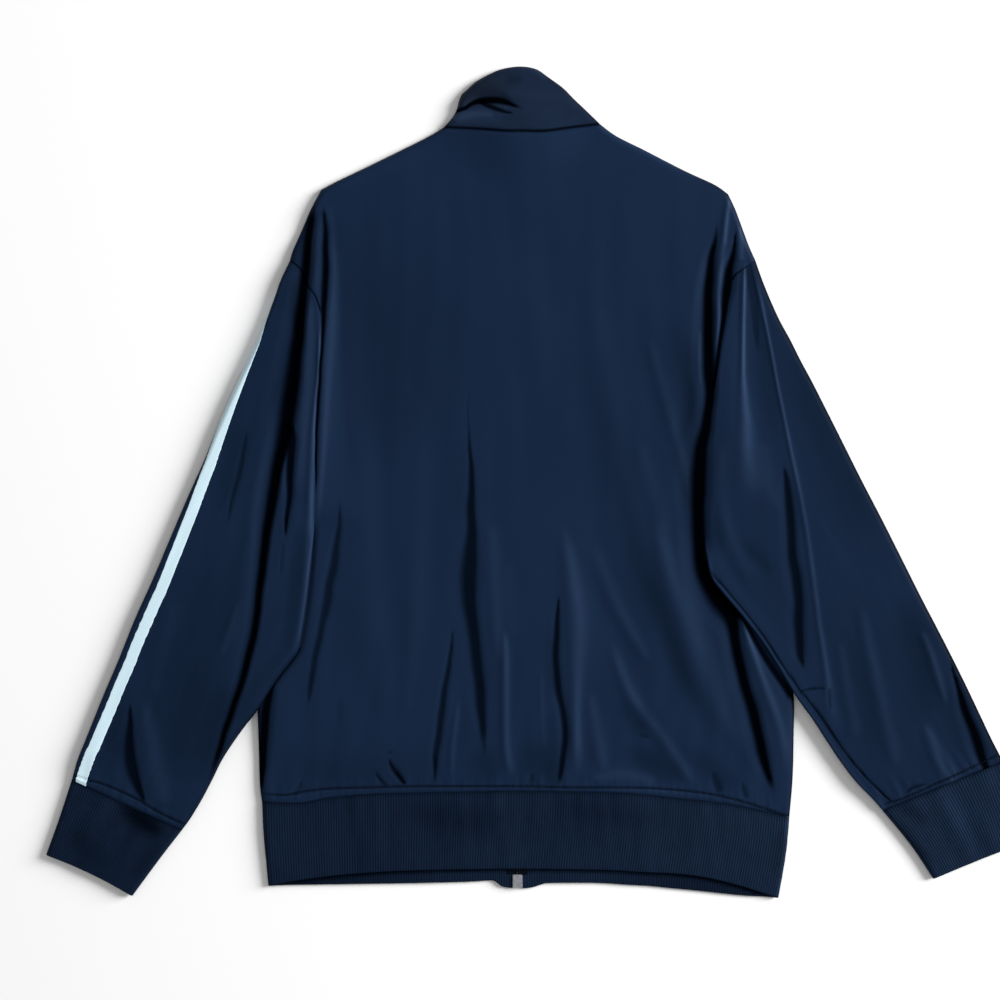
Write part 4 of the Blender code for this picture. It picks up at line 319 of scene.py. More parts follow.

# Ridge rows: u, v, width in squares, height in mm.  The number after on: how much
# painted sheen, a painted highlight, its crest gets.
Ridge = namedtuple("Ridge", "on glow rows")
RIDGES = [
    Ridge("Bl", 0.15, [(316, 222, 6, 0.3), (316.5, 250, 8, 0.7), (316, 280, 8, 0.6), (315, 298, 6, 0.3)]),
    Ridge("Bl", 0.30, [(330, 228, 10, 0.3), (332.5, 255, 15, 0.7), (333, 290, 16, 0.9), (332, 330, 15, 1.0), (329, 365, 12, 1.1), (326.5, 400, 10, 1.2), (324.5, 435, 9, 1.3), (322, 470, 7.5, 1.2), (319.5, 505, 6.5, 0.9), (317.5, 540, 5, 0.4)]),
    Ridge("Bl", 0.42, [(319.8, 322, 2.5, 0.2), (320, 342, 3.4, 0.7), (319.5, 362, 3.6, 0.8), (318.2, 380, 3.4, 0.7), (316, 400, 3.6, 0.6), (314, 430, 5.4, 0.8), (313.3, 460, 6.5, 0.9), (312.8, 490, 7, 0.9), (312, 520, 7, 0.8), (311, 545, 6, 0.4)]),
    Ridge("l", 0.30, [(313, 460, 6, 0.3), (311.5, 495, 8, 0.7), (310.5, 525, 9, 0.8), (309.5, 550, 9, 0.7), (307.5, 580, 8, 0.6), (304.5, 608, 7, 0.5), (301, 632, 6, 0.4), (298.5, 648, 3, 0.2)]),
    Ridge("l", 0.42, [(312, 298, 6, 0.4), (311, 320, 9, 0.7), (310, 350, 11, 0.9), (307, 400, 12, 0.8), (303, 450, 12, 0.8), (298, 500, 12, 0.6)]),
    Ridge("l", 0.16, [(272, 400, 8, 0.3), (268, 450, 12, 0.6), (257, 500, 14, 0.8), (250, 560, 14, 0.8), (240, 620, 14, 0.8), (226, 655, 10, 0.5)]),
    Ridge("l", 0.30, [(238, 600, 4, 0.2), (233, 622, 7, 0.6), (227, 640, 8, 0.7), (221, 658, 5, 0.2)]),
    Ridge("l", 0.52, [(145, 700, 10, 0.4), (150, 730, 18, 1.4), (156, 758, 22, 1.7), (161, 785, 22, 1.3), (166, 806, 14, 0.5)]),
    Ridge("l", 0.14, [(175, 600, 14, 0.4), (165, 650, 18, 0.7), (156, 700, 16, 0.6)]),
    Ridge("b", 0.30, [(492, 520, 12, 0.4), (494.5, 555, 15, 0.9), (496, 595, 15, 1.0), (498, 632, 12, 0.7), (501, 662, 8, 0.2)]),
    Ridge("b", 0.52, [(504.5, 628, 5, 0.3), (506, 650, 7.5, 1.2), (506.5, 685, 8.5, 1.5), (506.5, 725, 8.5, 1.5), (508, 755, 9, 1.3), (514, 778, 9, 0.5)]),
    Ridge("b", 0.10, [(508, 560, 16, 0.3), (512, 600, 22, 0.6), (516, 640, 18, 0.3)]),
    Ridge("b", 0.30, [(459, 700, 4, 0.3), (456, 725, 6, 0.8), (453, 750, 6, 0.8), (452, 778, 5, 0.5)]),
    Ridge("b", 0.20, [(541, 670, 3, 0.2), (542, 700, 5, 0.4), (543, 730, 5, 0.3), (545, 752, 4, 0.1)]),
    Ridge("b", 0.66, [(563, 522, 9, 0.3), (570, 555, 14, 1.2), (575.5, 590, 18, 1.9), (579, 620, 20, 2.0), (579, 650, 18, 1.7), (577.5, 690, 13, 2.0), (577, 715, 11.5, 2.0), (577.5, 745, 11, 2.0), (578.5, 780, 11, 1.3)]),
    Ridge("b", 0.36, [(590, 692, 7, 0.3), (594.5, 712, 12, 0.8), (598, 735, 14, 1.1), (602, 755, 14, 1.1), (606, 772, 9, 0.4)]),
    Ridge("b", 0.50, [(612, 640, 8, 0.4), (620, 665, 11, 1.0), (630, 690, 12, 1.3), (644, 712, 12, 1.4), (660, 732, 12, 1.4), (674, 752, 12, 1.4), (686, 770, 11, 1.0), (696, 786, 7, 0.3)]),
    Ridge("b", 0.58, [(592, 780, 7, 0.3), (612, 775, 13, 0.9), (636, 776, 14, 0.9), (658, 783, 9, 0.3)]),
    Ridge("b", 0.32, [(594, 540, 14, 0.4), (608, 580, 16, 1.2), (622, 612, 15, 1.4), (636, 638, 13, 1.2), (650, 662, 9, 0.5)]),
    Ridge("b", 0.22, [(648, 330, 8, 0.3), (657, 362, 12, 0.7), (666, 395, 13, 0.8), (675, 428, 12, 0.8), (684, 460, 12, 0.8), (690, 488, 10, 0.5), (694, 508, 8, 0.3)]),
    Ridge("b", 0.14, [(640, 440, 14, 0.4), (650, 475, 18, 0.7), (660, 505, 18, 0.7), (668, 535, 14, 0.4)]),
    Ridge("b", 0.36, [(656, 510, 12, 0.5), (664, 545, 17, 1.4), (674, 580, 21, 1.8), (686, 612, 25, 2.0), (699, 645, 27, 2.0), (713, 682, 25, 1.7), (728, 718, 19, 1.3), (744, 755, 12, 0.5)]),
    Ridge("b", 0.30, [(700, 330, 4, 0.3), (700, 360, 6, 0.6), (701, 385, 5, 0.4)]),
    Ridge("b", 0.12, [(600, 300, 22, 0.3), (612, 380, 26, 0.5), (628, 460, 26, 0.5), (640, 520, 20, 0.3)]),
    Ridge("b", 0.16, [(360, 300, 22, 0.3), (362, 420, 26, 0.6), (372, 540, 30, 0.6), (378, 660, 24, 0.5)]),
    Ridge("b", 0.14, [(420, 380, 18, 0.3), (422, 520, 24, 0.5), (414, 640, 20, 0.5), (408, 720, 14, 0.3)]),
    Ridge("BR", 0.34, [(730, 196, 4, 0.3), (727.5, 212, 6, 0.9), (725.5, 230, 6.5, 1.3), (723, 250, 6.5, 1.3), (720.5, 275, 6.5, 1.1), (719, 300, 6, 1.0), (717.5, 325, 5, 0.9), (715.5, 348, 3.5, 0.6), (714, 364, 2, 0.2)]),
    Ridge("b", 0.42, [(729, 198, 4, 0.2), (727.3, 212, 5, 0.4), (725.5, 228, 5, 0.4), (724.3, 248, 4, 0.2)]),
    Ridge("BR", 0.42, [(739, 225, 4, 0.4), (741, 245, 7, 1.0), (741, 262, 8, 1.0)]),
    Ridge("Br", 0.60, [(744, 256, 3, 0.4), (744.6, 272, 4.5, 1.0), (744, 295, 5, 1.2), (743.5, 320, 5.2, 1.2), (743.2, 350, 5.4, 1.2), (743.2, 375, 6.5, 1.3), (744.5, 398, 9.5, 1.4), (746.5, 420, 13, 1.6), (747.5, 445, 17, 1.6), (749, 466, 21, 1.4), (754, 486, 26, 1.0), (764, 508, 22, 0.4)]),
    Ridge("r", 0.22, [(762, 440, 16, 0.3), (766, 465, 20, 0.7), (771, 490, 18, 0.5), (776, 510, 12, 0.2)]),
    Ridge("r", 0.55, [(750, 257, 3, 0.3), (755.5, 277, 4, 0.7), (760.5, 298, 4.5, 0.9), (766, 325, 4.2, 0.9), (772, 355, 4, 0.9), (778, 388, 4, 0.9), (784.5, 420, 4, 0.9), (790.5, 450, 4, 0.9), (797, 480, 4.2, 0.9), (803, 510, 4.4, 0.9), (808, 540, 4.6, 0.9), (812, 570, 4.8, 0.9), (816, 600, 5, 0.9), (820, 630, 5.5, 0.9), (825, 660, 6.5, 1.0), (829, 688, 8, 1.0), (832, 710, 10, 0.8), (840, 735, 12, 0.3)]),
    Ridge("r", 0.18, [(722, 440, 10, 0.6), (722, 500, 14, 0.8), (735, 545, 16, 0.8), (755, 580, 14, 0.5)]),
    Ridge("r", 0.28, [(861, 600, 10, 0.3), (868, 640, 13, 1.0), (877, 680, 14, 1.2), (885, 715, 15, 1.2), (893, 745, 15, 1.0), (899, 768, 10, 0.3)]),
    Ridge("r", 0.5, [(920, 628, 5, 0.3), (928, 646, 8, 1.1), (935, 666, 9, 1.3), (941, 686, 8, 1.0), (947, 706, 5, 0.3)]),
    Ridge("r", 0.55, [(924, 722, 8, 0.3), (933, 742, 12, 1.2), (941, 760, 15, 1.5), (950, 776, 16, 1.2), (958, 788, 10, 0.4)]),
    Ridge("r", 0.25, [(840, 640, 8, 0.3), (848, 690, 12, 0.8), (858, 740, 12, 0.6)]),
    Ridge("b", 0.62, [(742, 621, 2, 0.3), (746, 632, 4, 0.8), (751, 646, 6.5, 1.2), (757, 662, 8, 1.5), (763, 678, 9, 1.5), (769, 694, 10, 1.5), (775, 710, 10, 1.2), (781, 728, 10, 0.8), (785, 750, 9, 0.4), (786, 778, 7, 0.2)]),
    Ridge("c", 0.45, [(452, 120, 6, 0.2), (461, 117, 9, 0.6), (472, 114.5, 9, 0.7), (484, 114, 7, 0.6), (494, 116, 5, 0.3)]),
    Ridge("c", 0.20, [(488, 105, 3, 0.5), (497, 106, 4, 0.8), (507, 109, 3, 0.4)]),
    Ridge("c", 0.14, [(500, 92, 8, 0.5), (525, 95, 12, 0.8), (560, 98, 14, 0.6), (580, 108, 8, 0.3)]),
]

# Step rows: u, v, rise on the right in mm, how far it reaches in squares.
Step = namedtuple("Step", "on rows")
STEPS = [
    Step("Bl", [(313, 206, 0.4, 22), (310, 235, 2.0, 26), (307, 275, 2.6, 34), (302, 310, 3.0, 40), (297, 350, 3.0, 46), (291, 400, 3.0, 56), (278, 455, 3.0, 80), (270, 500, 3.0, 100), (262, 560, 3.0, 110), (253, 625, 3.0, 110), (240, 680, 2.8, 100), (222, 735, 2.0, 80), (210, 772, 0.6, 60)]),
]


CREASE_SCALE = 0.42
RIDGE_SCALE = 0.60


def allowed(on, piece, y):
    """How much of a fold this piece shows at the height y."""
    if piece in on:
        return np.ones_like(y)
    if piece.upper() in on:
        line = -37.0 if "l" in on or piece == "l" else -60.0
        return smooth(line - 14, line + 16, y)
    return None


def relief(piece, x, y):
    """Height to add, painted shade as the share of light that gets in (1 is all), and painted sheen on the crests, at
    every point of a piece.
    """
    shape = x.shape
    x, y = x.ravel(), y.ravel()
    height, light, gloss = np.zeros_like(x), np.ones_like(x), np.zeros_like(x)
    troughs = np.zeros_like(x)
    x0, drift = x, waves(x, y, 301, 0, 46, 90, 7)

    def near(rows, spread, fine=6, wander=0.0):
        path = spline(plan(rows), fine)
        x = x0 + wander * drift
        reach = (np.max(path[:, 2]) * spread) * SQUARE
        pick = np.flatnonzero((x > path[:, 0].min() - reach) & (x < path[:, 0].max() + reach) & (y > path[:, 1].min() - reach) & (y < path[:, 1].max() + reach))
        if not len(pick):
            return None
        d, side, where = nearest(path, x[pick], y[pick])
        stations = np.arange(len(path))
        return pick, d, side, where / (len(path) - 1), np.interp(where, stations, path[:, 2]) * SQUARE / 2, np.interp(where, stations, path[:, 3])

    for step in STEPS:
        share = allowed(step.on, piece, y)
        if share is None:
            continue
        path = spline(plan(step.rows), 6)
        d, side, where = nearest(path, x, y)
        stations = np.arange(len(path))
        rise, reach = np.interp(where, stations, path[:, 2]), np.interp(where, stations, path[:, 3]) * SQUARE
        n = d * side
        ends = smooth(0, 0.5, where) * smooth(0, 0.5, len(path) - 1 - where)
        height += share * rise * smooth(-1.0, 7.0, n) * (1 - smooth(0.45 * reach, reach, n)) * ends
    for fold in RIDGES:
        share = allowed(fold.on, piece, y)
        found = near(fold.rows, 2.5) if share is not None else None
        if found is None:
            continue
        pick, d, side, where, half, tall = found
        q = d / np.maximum(half, 0.3)
        ends = smooth(0, 0.14, where) * smooth(0, 0.14, 1 - where)
        height[pick] += RIDGE_SCALE * share[pick] * tall * np.exp(-((d * side / np.maximum(half, 0.3) + 0.55) ** 2)) * ends
        gloss[pick] += share[pick] * fold.glow * np.exp(-((q * 1.1) ** 2)) * ends
    for fold in CREASES:
        share = allowed(fold.on, piece, y)
        found = near(fold.rows, 4.6, 6, 0.3 if fold.lean else 0.0) if share is not None else None
        if found is None:
            continue
        pick, d, side, where, half, deep = found
        q = d / np.maximum(half, 0.3)
        lean = fold.lean * side
        outer = 2.4 - np.where(lean > 0, 1.1, 1.8) * lean
        trough = 1 - smooth(0, 1, (q - 0.35) / (outer - 0.35))
        ends = smooth(0, 0.10, where) * smooth(0, 0.10, 1 - where)
        troughs[pick] = np.maximum(troughs[pick], CREASE_SCALE * share[pick] * deep * trough * ends)
        inner, outer = 0.48 + 0.14 * lean, 1.45 - np.where(lean > 0, 0.2, 0.75) * lean
        soft = 1 - smooth(0, 1, (q - inner) / (outer - inner))
        soft = np.maximum(soft, 0.42 * np.maximum(0, -lean) * np.exp(-((q / 2.4) ** 2)))
        ends = smooth(0, 0.05, where) * smooth(0, 0.05, 1 - where) if len(fold.rows) > 2 else 1.0
        light[pick] *= 1 - share[pick] * fold.dark * soft * mix(0.35, 1.0, ends) * smooth(0, 0.5, deep / (0.6 * deep.max() + 1e-6))
    for fold in PAINTED_SHADES:
        share = allowed(fold.on, piece, y)
        found = near(fold.rows, 3.0, 4) if share is not None else None
        if found is None:
            continue
        pick, d, side, where, half, deep = found
        bell = share[pick] * np.exp(-((d / half) ** 2)) * smooth(-0.02, 0.35, where) * smooth(-0.02, 0.35, 1 - where)
        light[pick] *= 1 - fold.dark * bell
        height[pick] -= CREASE_SCALE * deep * bell
    gloss *= light
    return (height - troughs).reshape(shape), light.reshape(shape), gloss.reshape(shape)


# ================================================================= materials
def new_material(name):
    made = bpy.data.materials.new(name)
    made.use_nodes = True
    nodes, links = made.node_tree.nodes, made.node_tree.links
    return made, nodes, links, nodes["Principled BSDF"]


def node(nodes, kind, **values):
    made = nodes.new(kind)
    for key, value in values.items():
        if key in made.inputs:
            made.inputs[key].default_value = value
        else:
            setattr(made, key, value)
    return made


def math_node(nodes, links, operation, first, second=None):
    made = nodes.new("ShaderNodeMath")
    made.operation = operation
    for k, value in enumerate((first, second)):
        if value is None:
            continue
        if isinstance(value, (int, float)):
            made.inputs[k].default_value = value
        else:
            links.new(value, made.inputs[k])
    return made.outputs[0]


def noise(nodes, links, scale, detail=2.0, stretch=None, rough=0.5):
    coords = nodes.new("ShaderNodeTexCoord")
    made = node(nodes, "ShaderNodeTexNoise", Scale=scale, Detail=detail, Roughness=rough)
    if stretch:
        squeeze = nodes.new("ShaderNodeMapping")
        squeeze.inputs["Scale"].default_value = stretch
        links.new(coords.outputs["Object"], squeeze.inputs["Vector"])
        links.new(squeeze.outputs["Vector"], made.inputs["Vector"])
    else:
        links.new(coords.outputs["Object"], made.inputs["Vector"])
    return made.outputs["Fac"]


def attribute(nodes, name):
    made = nodes.new("ShaderNodeAttribute")
    made.attribute_type = "GEOMETRY"
    made.attribute_name = name
    return made.outputs["Fac"]


def ramp(nodes, links, source, stops):
    made = nodes.new("ShaderNodeValToRGB")
    while len(made.color_ramp.elements) < len(stops):
        made.color_ramp.elements.new(0.5)
    for element, (place, colour) in zip(made.color_ramp.elements, stops):
        element.position = place
        element.color = (*colour, 1) if len(colour) == 3 else colour
    links.new(source, made.inputs["Fac"])
    return made.outputs["Color"]


def wave_on_uv(nodes, links, pitch_mm, direction, distortion=0.0):
    """Even lines along the cloth, from its UV map, which is in metres."""
    coords = nodes.new("ShaderNodeUVMap")
    coords.uv_map = "cloth"
    made = nodes.new("ShaderNodeTexWave")
    made.bands_direction = direction
    made.inputs["Scale"].default_value = 2 * pi / (pitch_mm * MM) / 20
    made.inputs["Distortion"].default_value = distortion
    made.inputs["Detail"].default_value = 1.0
    links.new(coords.outputs["UV"], made.inputs["Vector"])
    return made.outputs["Fac"]


def mix_colour(nodes, links, factor, a, b, blend="MIX"):
    made = nodes.new("ShaderNodeMix")
    made.data_type = "RGBA"
    made.blend_type = blend
    for socket, value in ((made.inputs["Factor"], factor), (made.inputs["A"], a), (made.inputs["B"], b)):
        if isinstance(value, (int, float)):
            socket.default_value = value
        elif isinstance(value, tuple):
            socket.default_value = (*value, 1) if len(value) == 3 else value
        else:
            links.new(value, socket)
    return made.outputs["Result"]


def bump(nodes, links, shader, *layers):
    """Stacks (height source, strength, distance in mm) layers."""
    last = None
    for source, strength, distance in layers:
        made = nodes.new("ShaderNodeBump")
        made.inputs["Strength"].default_value = strength
        made.inputs["Distance"].default_value = distance * MM
        links.new(source, made.inputs["Height"])
        if last is not None:
            links.new(last, made.inputs["Normal"])
        last = made.outputs["Normal"]
    links.new(last, shader.inputs["Normal"])


NAVY = (0.0055, 0.0143, 0.0370)
NAVY_LIGHT = (0.0067, 0.0166, 0.0423)
NAVY_DULL = (0.0098, 0.0155, 0.0290)
RIB_NAVY = (0.0040, 0.0108, 0.0270)
RIB_VALLEY_SHADE = (0.0016, 0.0042, 0.0105)
TINT = (0.30, 0.52, 1.0, 1.0)


def knit_material():
    """Smooth warp knit: fine wales, a little unevenness and a satin sheen, plus painted sheen on the crests and painted
    shade from the light attribute.
    """
    made, nodes, links, shader = new_material("smooth_knit")
    light, gloss, dull = attribute(nodes, "light"), attribute(nodes, "gloss"), attribute(nodes, "dull")
    broad = noise(nodes, links, 9.0, 2.0)
    fine = noise(nodes, links, 900.0, 2.0)
    wales = wave_on_uv(nodes, links, 0.62, "X", 0.6)
    courses = wave_on_uv(nodes, links, 0.48, "Y", 0.8)
    streaks = noise(nodes, links, 60.0, 3.0, (1.0, 0.12, 1.0))
    base = mix_colour(nodes, links, broad, NAVY, NAVY_LIGHT)
    base = mix_colour(nodes, links, dull, base, NAVY_DULL)
    thread = math_node(nodes, links, "MULTIPLY_ADD", wales, 0.10)
    thread.node.inputs[2].default_value = 0.95
    thread = math_node(nodes, links, "ADD", thread, math_node(nodes, links, "MULTIPLY", math_node(nodes, links, "SUBTRACT", fine, 0.5), 0.16))
    thread = math_node(nodes, links, "ADD", thread, math_node(nodes, links, "MULTIPLY", math_node(nodes, links, "SUBTRACT", streaks, 0.5), 0.14))
    seen = math_node(nodes, links, "MULTIPLY", thread, light)
    grey = nodes.new("ShaderNodeCombineColor")
    for k in range(3):
        links.new(seen, grey.inputs[k])
    colour = mix_colour(nodes, links, 1.0, base, grey.outputs[0], "MULTIPLY")
    links.new(colour, shader.inputs["Base Color"])
    rough = math_node(nodes, links, "MULTIPLY_ADD", fine, 0.10)
    rough.node.inputs[2].default_value = 0.44
    links.new(rough, shader.inputs["Roughness"])
    lit = math_node(nodes, links, "MULTIPLY", light, math_node(nodes, links, "ADD", math_node(nodes, links, "MULTIPLY", gloss, 0.45), 0.13))
    links.new(lit, shader.inputs["Specular IOR Level"])
    shader.inputs["Specular Tint"].default_value = TINT
    sheen = math_node(nodes, links, "MULTIPLY", light, math_node(nodes, links, "ADD", math_node(nodes, links, "MULTIPLY", gloss, 0.025), 0.006))
    links.new(sheen, shader.inputs["Sheen Weight"])
    shader.inputs["Sheen Roughness"].default_value = 0.45
    shader.inputs["Sheen Tint"].default_value = (0.4, 0.6, 1.0, 1.0)
    bump(nodes, links, shader, (streaks, 0.25, 0.25), (courses, 0.12, 0.05), (wales, 0.22, 0.07), (fine, 0.15, 0.05))
    return made


def rib_material():
    """Rib knit: the ribs are modelled; this adds the stitches along each and painted shade in the valleys between them.
    """
    made, nodes, links, shader = new_material("rib_knit")
    light, valley = attribute(nodes, "light"), attribute(nodes, "valley")
    broad = noise(nodes, links, 16.0, 2.0)
    fine = noise(nodes, links, 1400.0, 2.0)
    fuzz = noise(nodes, links, 240.0, 2.0, (1.0, 0.35, 1.0))
    stitches = wave_on_uv(nodes, links, 0.75, "Y", 0.4)
    # painted shade: the colour darkens in the valleys between the ribs
    base = mix_colour(nodes, links, valley, RIB_NAVY, RIB_VALLEY_SHADE)
    base = mix_colour(nodes, links, math_node(nodes, links, "MULTIPLY", broad, 0.35), base, (0.0085, 0.0150, 0.0330))
    seen = math_node(nodes, links, "MULTIPLY_ADD", stitches, 0.16)
    seen.node.inputs[2].default_value = 0.90
    seen = math_node(nodes, links, "ADD", seen, math_node(nodes, links, "MULTIPLY", math_node(nodes, links, "SUBTRACT", fine, 0.5), 0.35))
    seen = math_node(nodes, links, "ADD", seen, math_node(nodes, links, "MULTIPLY", math_node(nodes, links, "SUBTRACT", fuzz, 0.5), 0.45))
    seen = math_node(nodes, links, "MULTIPLY", seen, light)
    grey = nodes.new("ShaderNodeCombineColor")
    for k in range(3):
        links.new(seen, grey.inputs[k])
    links.new(mix_colour(nodes, links, 1.0, base, grey.outputs[0], "MULTIPLY"), shader.inputs["Base Color"])
    shader.inputs["Roughness"].default_value = 0.62
    links.new(math_node(nodes, links, "MULTIPLY", light, 0.10), shader.inputs["Specular IOR Level"])
    shader.inputs["Specular Tint"].default_value = TINT
    links.new(math_node(nodes, links, "MULTIPLY", light, 0.006), shader.inputs["Sheen Weight"])
    shader.inputs["Sheen Roughness"].default_value = 0.5
    shader.inputs["Sheen Tint"].default_value = (0.4, 0.6, 1.0, 1.0)
    bump(nodes, links, shader, (stitches, 0.35, 0.12), (fine, 0.25, 0.06))
    return made


def tape_material(name, light_colour, dark_colour, pitch, roughness, shine=0.25):
    """Flat woven tape: a fine twill with slubs; its light attribute paints shade into it, such as along its edges."""
    made, nodes, links, shader = new_material(name)
    coords = nodes.new("ShaderNodeUVMap")
    coords.uv_map = "cloth"
    twill = nodes.new("ShaderNodeTexWave")
    twill.bands_direction = "DIAGONAL"
    twill.inputs["Scale"].default_value = 2 * pi / (pitch * MM) / 20
    twill.inputs["Distortion"].default_value = 0.8
    links.new(coords.outputs["UV"], twill.inputs["Vector"])
    picks = wave_on_uv(nodes, links, pitch * 0.8, "Y", 0.5)
    fine = noise(nodes, links, 1100.0, 2.0)
    broad = noise(nodes, links, 35.0, 3.0)
    light = attribute(nodes, "light")
    weave = math_node(nodes, links, "MULTIPLY", twill.outputs["Fac"], 0.55)
    weave = math_node(nodes, links, "ADD", weave, math_node(nodes, links, "MULTIPLY", picks, 0.25))
    weave = math_node(nodes, links, "ADD", weave, math_node(nodes, links, "MULTIPLY", fine, 0.20))
    base = ramp(nodes, links, weave, [(0.1, dark_colour), (0.75, light_colour)])
    soft = math_node(nodes, links, "MULTIPLY_ADD", broad, 0.10)
    soft.node.inputs[2].default_value = 0.95
    soft = math_node(nodes, links, "MULTIPLY", soft, light)
    grey = nodes.new("ShaderNodeCombineColor")
    for k in range(3):
        links.new(soft, grey.inputs[k])
    links.new(mix_colour(nodes, links, 1.0, base, grey.outputs[0], "MULTIPLY"), shader.inputs["Base Color"])
    shader.inputs["Roughness"].default_value = roughness
    shader.inputs["Specular IOR Level"].default_value = shine
    bump(nodes, links, shader, (weave, 0.4, 0.12))
    return made


def thread_material():
    made, nodes, links, shader = new_material("thread")
    twist = noise(nodes, links, 1800.0, 2.0)
    links.new(ramp(nodes, links, twist, [(0.3, (0.0022, 0.0055, 0.0140)), (0.7, (0.0050, 0.0115, 0.0280))]), shader.inputs["Base Color"])
    shader.inputs["Roughness"].default_value = 0.5
    shader.inputs["Specular IOR Level"].default_value = 0.3
    shader.inputs["Specular Tint"].default_value = TINT
    bump(nodes, links, shader, (twist, 0.4, 0.05))
    return made


def metal_material():
    """Satin plated die casting with fine scratches and a patchy cast tone."""
    made, nodes, links, shader = new_material("plated_metal")
    cast = noise(nodes, links, 500.0, 3.0)
    scratch = noise(nodes, links, 900.0, 2.0, (1.0, 0.08, 1.0))
    links.new(ramp(nodes, links, cast, [(0.25, (0.36, 0.38, 0.42)), (0.7, (0.68, 0.70, 0.74))]), shader.inputs["Base Color"])
    shader.inputs["Metallic"].default_value = 1.0
    rough = math_node(nodes, links, "MULTIPLY_ADD", scratch, 0.30)
    rough.node.inputs[2].default_value = 0.16
    links.new(rough, shader.inputs["Roughness"])
    bump(nodes, links, shader, (cast, 0.15, 0.08), (scratch, 0.12, 0.04))
    return made


KNIT = knit_material()
RIB = rib_material()
SLEEVE_TAPE = tape_material("sleeve_tape_weave", (0.70, 0.88, 0.96), (0.44, 0.62, 0.72), 0.9, 0.6)
ZIP_TAPE = tape_material("zip_tape_weave", (0.0068, 0.0135, 0.030), (0.0026, 0.0055, 0.0125), 0.8, 0.8, 0.03)
THREAD = thread_material()
METAL = metal_material()


# ==================================================================== meshes
def sheet_mesh(name, points, material, cloth_uv=None, **values):
    """A grid of points (rows, columns, 3) in millimetres as a smooth sheet. values are one number a point."""
    rows, columns = points.shape[:2]
    count = rows * columns
    mesh = bpy.data.meshes.new(name)
    mesh.vertices.add(count)
    mesh.vertices.foreach_set("co", (points.reshape(-1, 3) * MM).astype(np.float32).ravel())
    index = np.arange(count).reshape(rows, columns)
    quads = np.stack([index[:-1, :-1], index[:-1, 1:], index[1:, 1:], index[1:, :-1]], -1).reshape(-1, 4)
    mesh.loops.add(quads.size)
    mesh.loops.foreach_set("vertex_index", quads.ravel().astype(np.int32))
    mesh.polygons.add(len(quads))
    mesh.polygons.foreach_set("loop_start", np.arange(0, quads.size, 4, dtype=np.int32))
    mesh.update(calc_edges=True)
    if cloth_uv is None:
        across = np.zeros((rows, columns))
        across[:, 1:] = np.cumsum(np.linalg.norm(np.diff(points, axis=1), axis=-1), axis=1)
        along = np.zeros((rows, columns))
        along[1:] = np.cumsum(np.linalg.norm(np.diff(points, axis=0), axis=-1), axis=0)
        middle = rows // 2
        cloth_uv = np.stack([np.broadcast_to(across[middle], (rows, columns)), np.broadcast_to(along[:, columns // 2][:, None], (rows, columns))], -1)
    uv = mesh.uv_layers.new(name="cloth")
    uv.data.foreach_set("uv", (cloth_uv.reshape(-1, 2)[quads.ravel()] * MM).astype(np.float32).ravel())
    for key, value in values.items():
        layer = mesh.attributes.new(key, "FLOAT", "POINT")
        layer.data.foreach_set("value", np.broadcast_to(value, (rows, columns)).astype(np.float32).ravel())
    mesh.materials.append(material)
    mesh.shade_smooth()
    made = bpy.data.objects.new(name, mesh)
    bpy.context.scene.collection.objects.link(made)
    return made


def solid_mesh(name, points, faces, material, smooth_shade=True):
    mesh = bpy.data.meshes.new(name)
    mesh.from_pydata((np.asarray(points) * MM).tolist(), [], [list(map(int, f)) for f in faces])
    mesh.update()
    mesh.materials.append(material)
    if smooth_shade:
        mesh.shade_smooth()
    made = bpy.data.objects.new(name, mesh)
    bpy.context.scene.collection.objects.link(made)
    return made


def up_faces(points):
    """Whether a grid's faces look up."""
    a = points[1:, :-1] - points[:-1, :-1]
    b = points[:-1, 1:] - points[:-1, :-1]
    return np.cross(b.reshape(-1, 3), a.reshape(-1, 3))[:, 2].sum() > 0


# ---------------------------------------------------------------- the outlines
side_left, side_right = Curve(SIDE_LEFT), Curve(SIDE_RIGHT)
shoulder_left, shoulder_right = Curve(SHOULDER_LEFT), Curve(SHOULDER_RIGHT)
drop_left, drop_right = Curve(DROP_LEFT), Curve(DROP_RIGHT)
neck_seam, hem_seam, front_hem_seam, front_neck = Curve(NECK_SEAM), Curve(HEM_SEAM), Curve(FRONT_HEM_SEAM), Curve(FRONT_NECK)
cap = {-1: Curve(LEFT_CAP), 1: Curve(RIGHT_CAP)}
armhole = {-1: Curve(LEFT_ARMHOLE), 1: Curve(RIGHT_ARMHOLE)}
outer_edge = {-1: Curve(LEFT_OUTER), 1: Curve(RIGHT_OUTER)}
inner_edge = {-1: Curve(np.vstack([LEFT_ARMHOLE, LEFT_FOLD[1:]])), 1: Curve(np.vstack([RIGHT_ARMHOLE, RIGHT_FOLD[1:]]))}
UNDERARM_Y = {-1: -37.0, 1: -60.0}
SEAM_LEVEL = 8.0
EDGE_REACH = 5.5


def seam_level(side, y):
    """Height at which a sleeve and the back meet along the armhole."""
    return mix(7.2, SEAM_LEVEL, smooth(UNDERARM_Y[side], UNDERARM_Y[side] + 30, y))


def slider_bump(x, y):
    return 5.4 * (1 - smooth(6, 75, np.hypot(x - ZIP_X, 1.2 * (y - 331))))


def rim(x, y):
    """Distance to the garment's upper outline, where the cloth turns under."""
    best = np.full(np.shape(x), 1e9)
    for curve in (shoulder_left, shoulder_right, drop_left, drop_right, outer_edge[-1], outer_edge[1]):
        best = np.minimum(best, curve.distance(x, y))
    return best


def rim_level(x, y):
    """Height of the turned edge: higher on a sleeve than on the shoulders."""
    near = np.minimum(np.hypot(x + 230, y - 206), np.hypot(x - 203, y - 207))
    return mix(3.4, 2.6, smooth(0, 50, near))


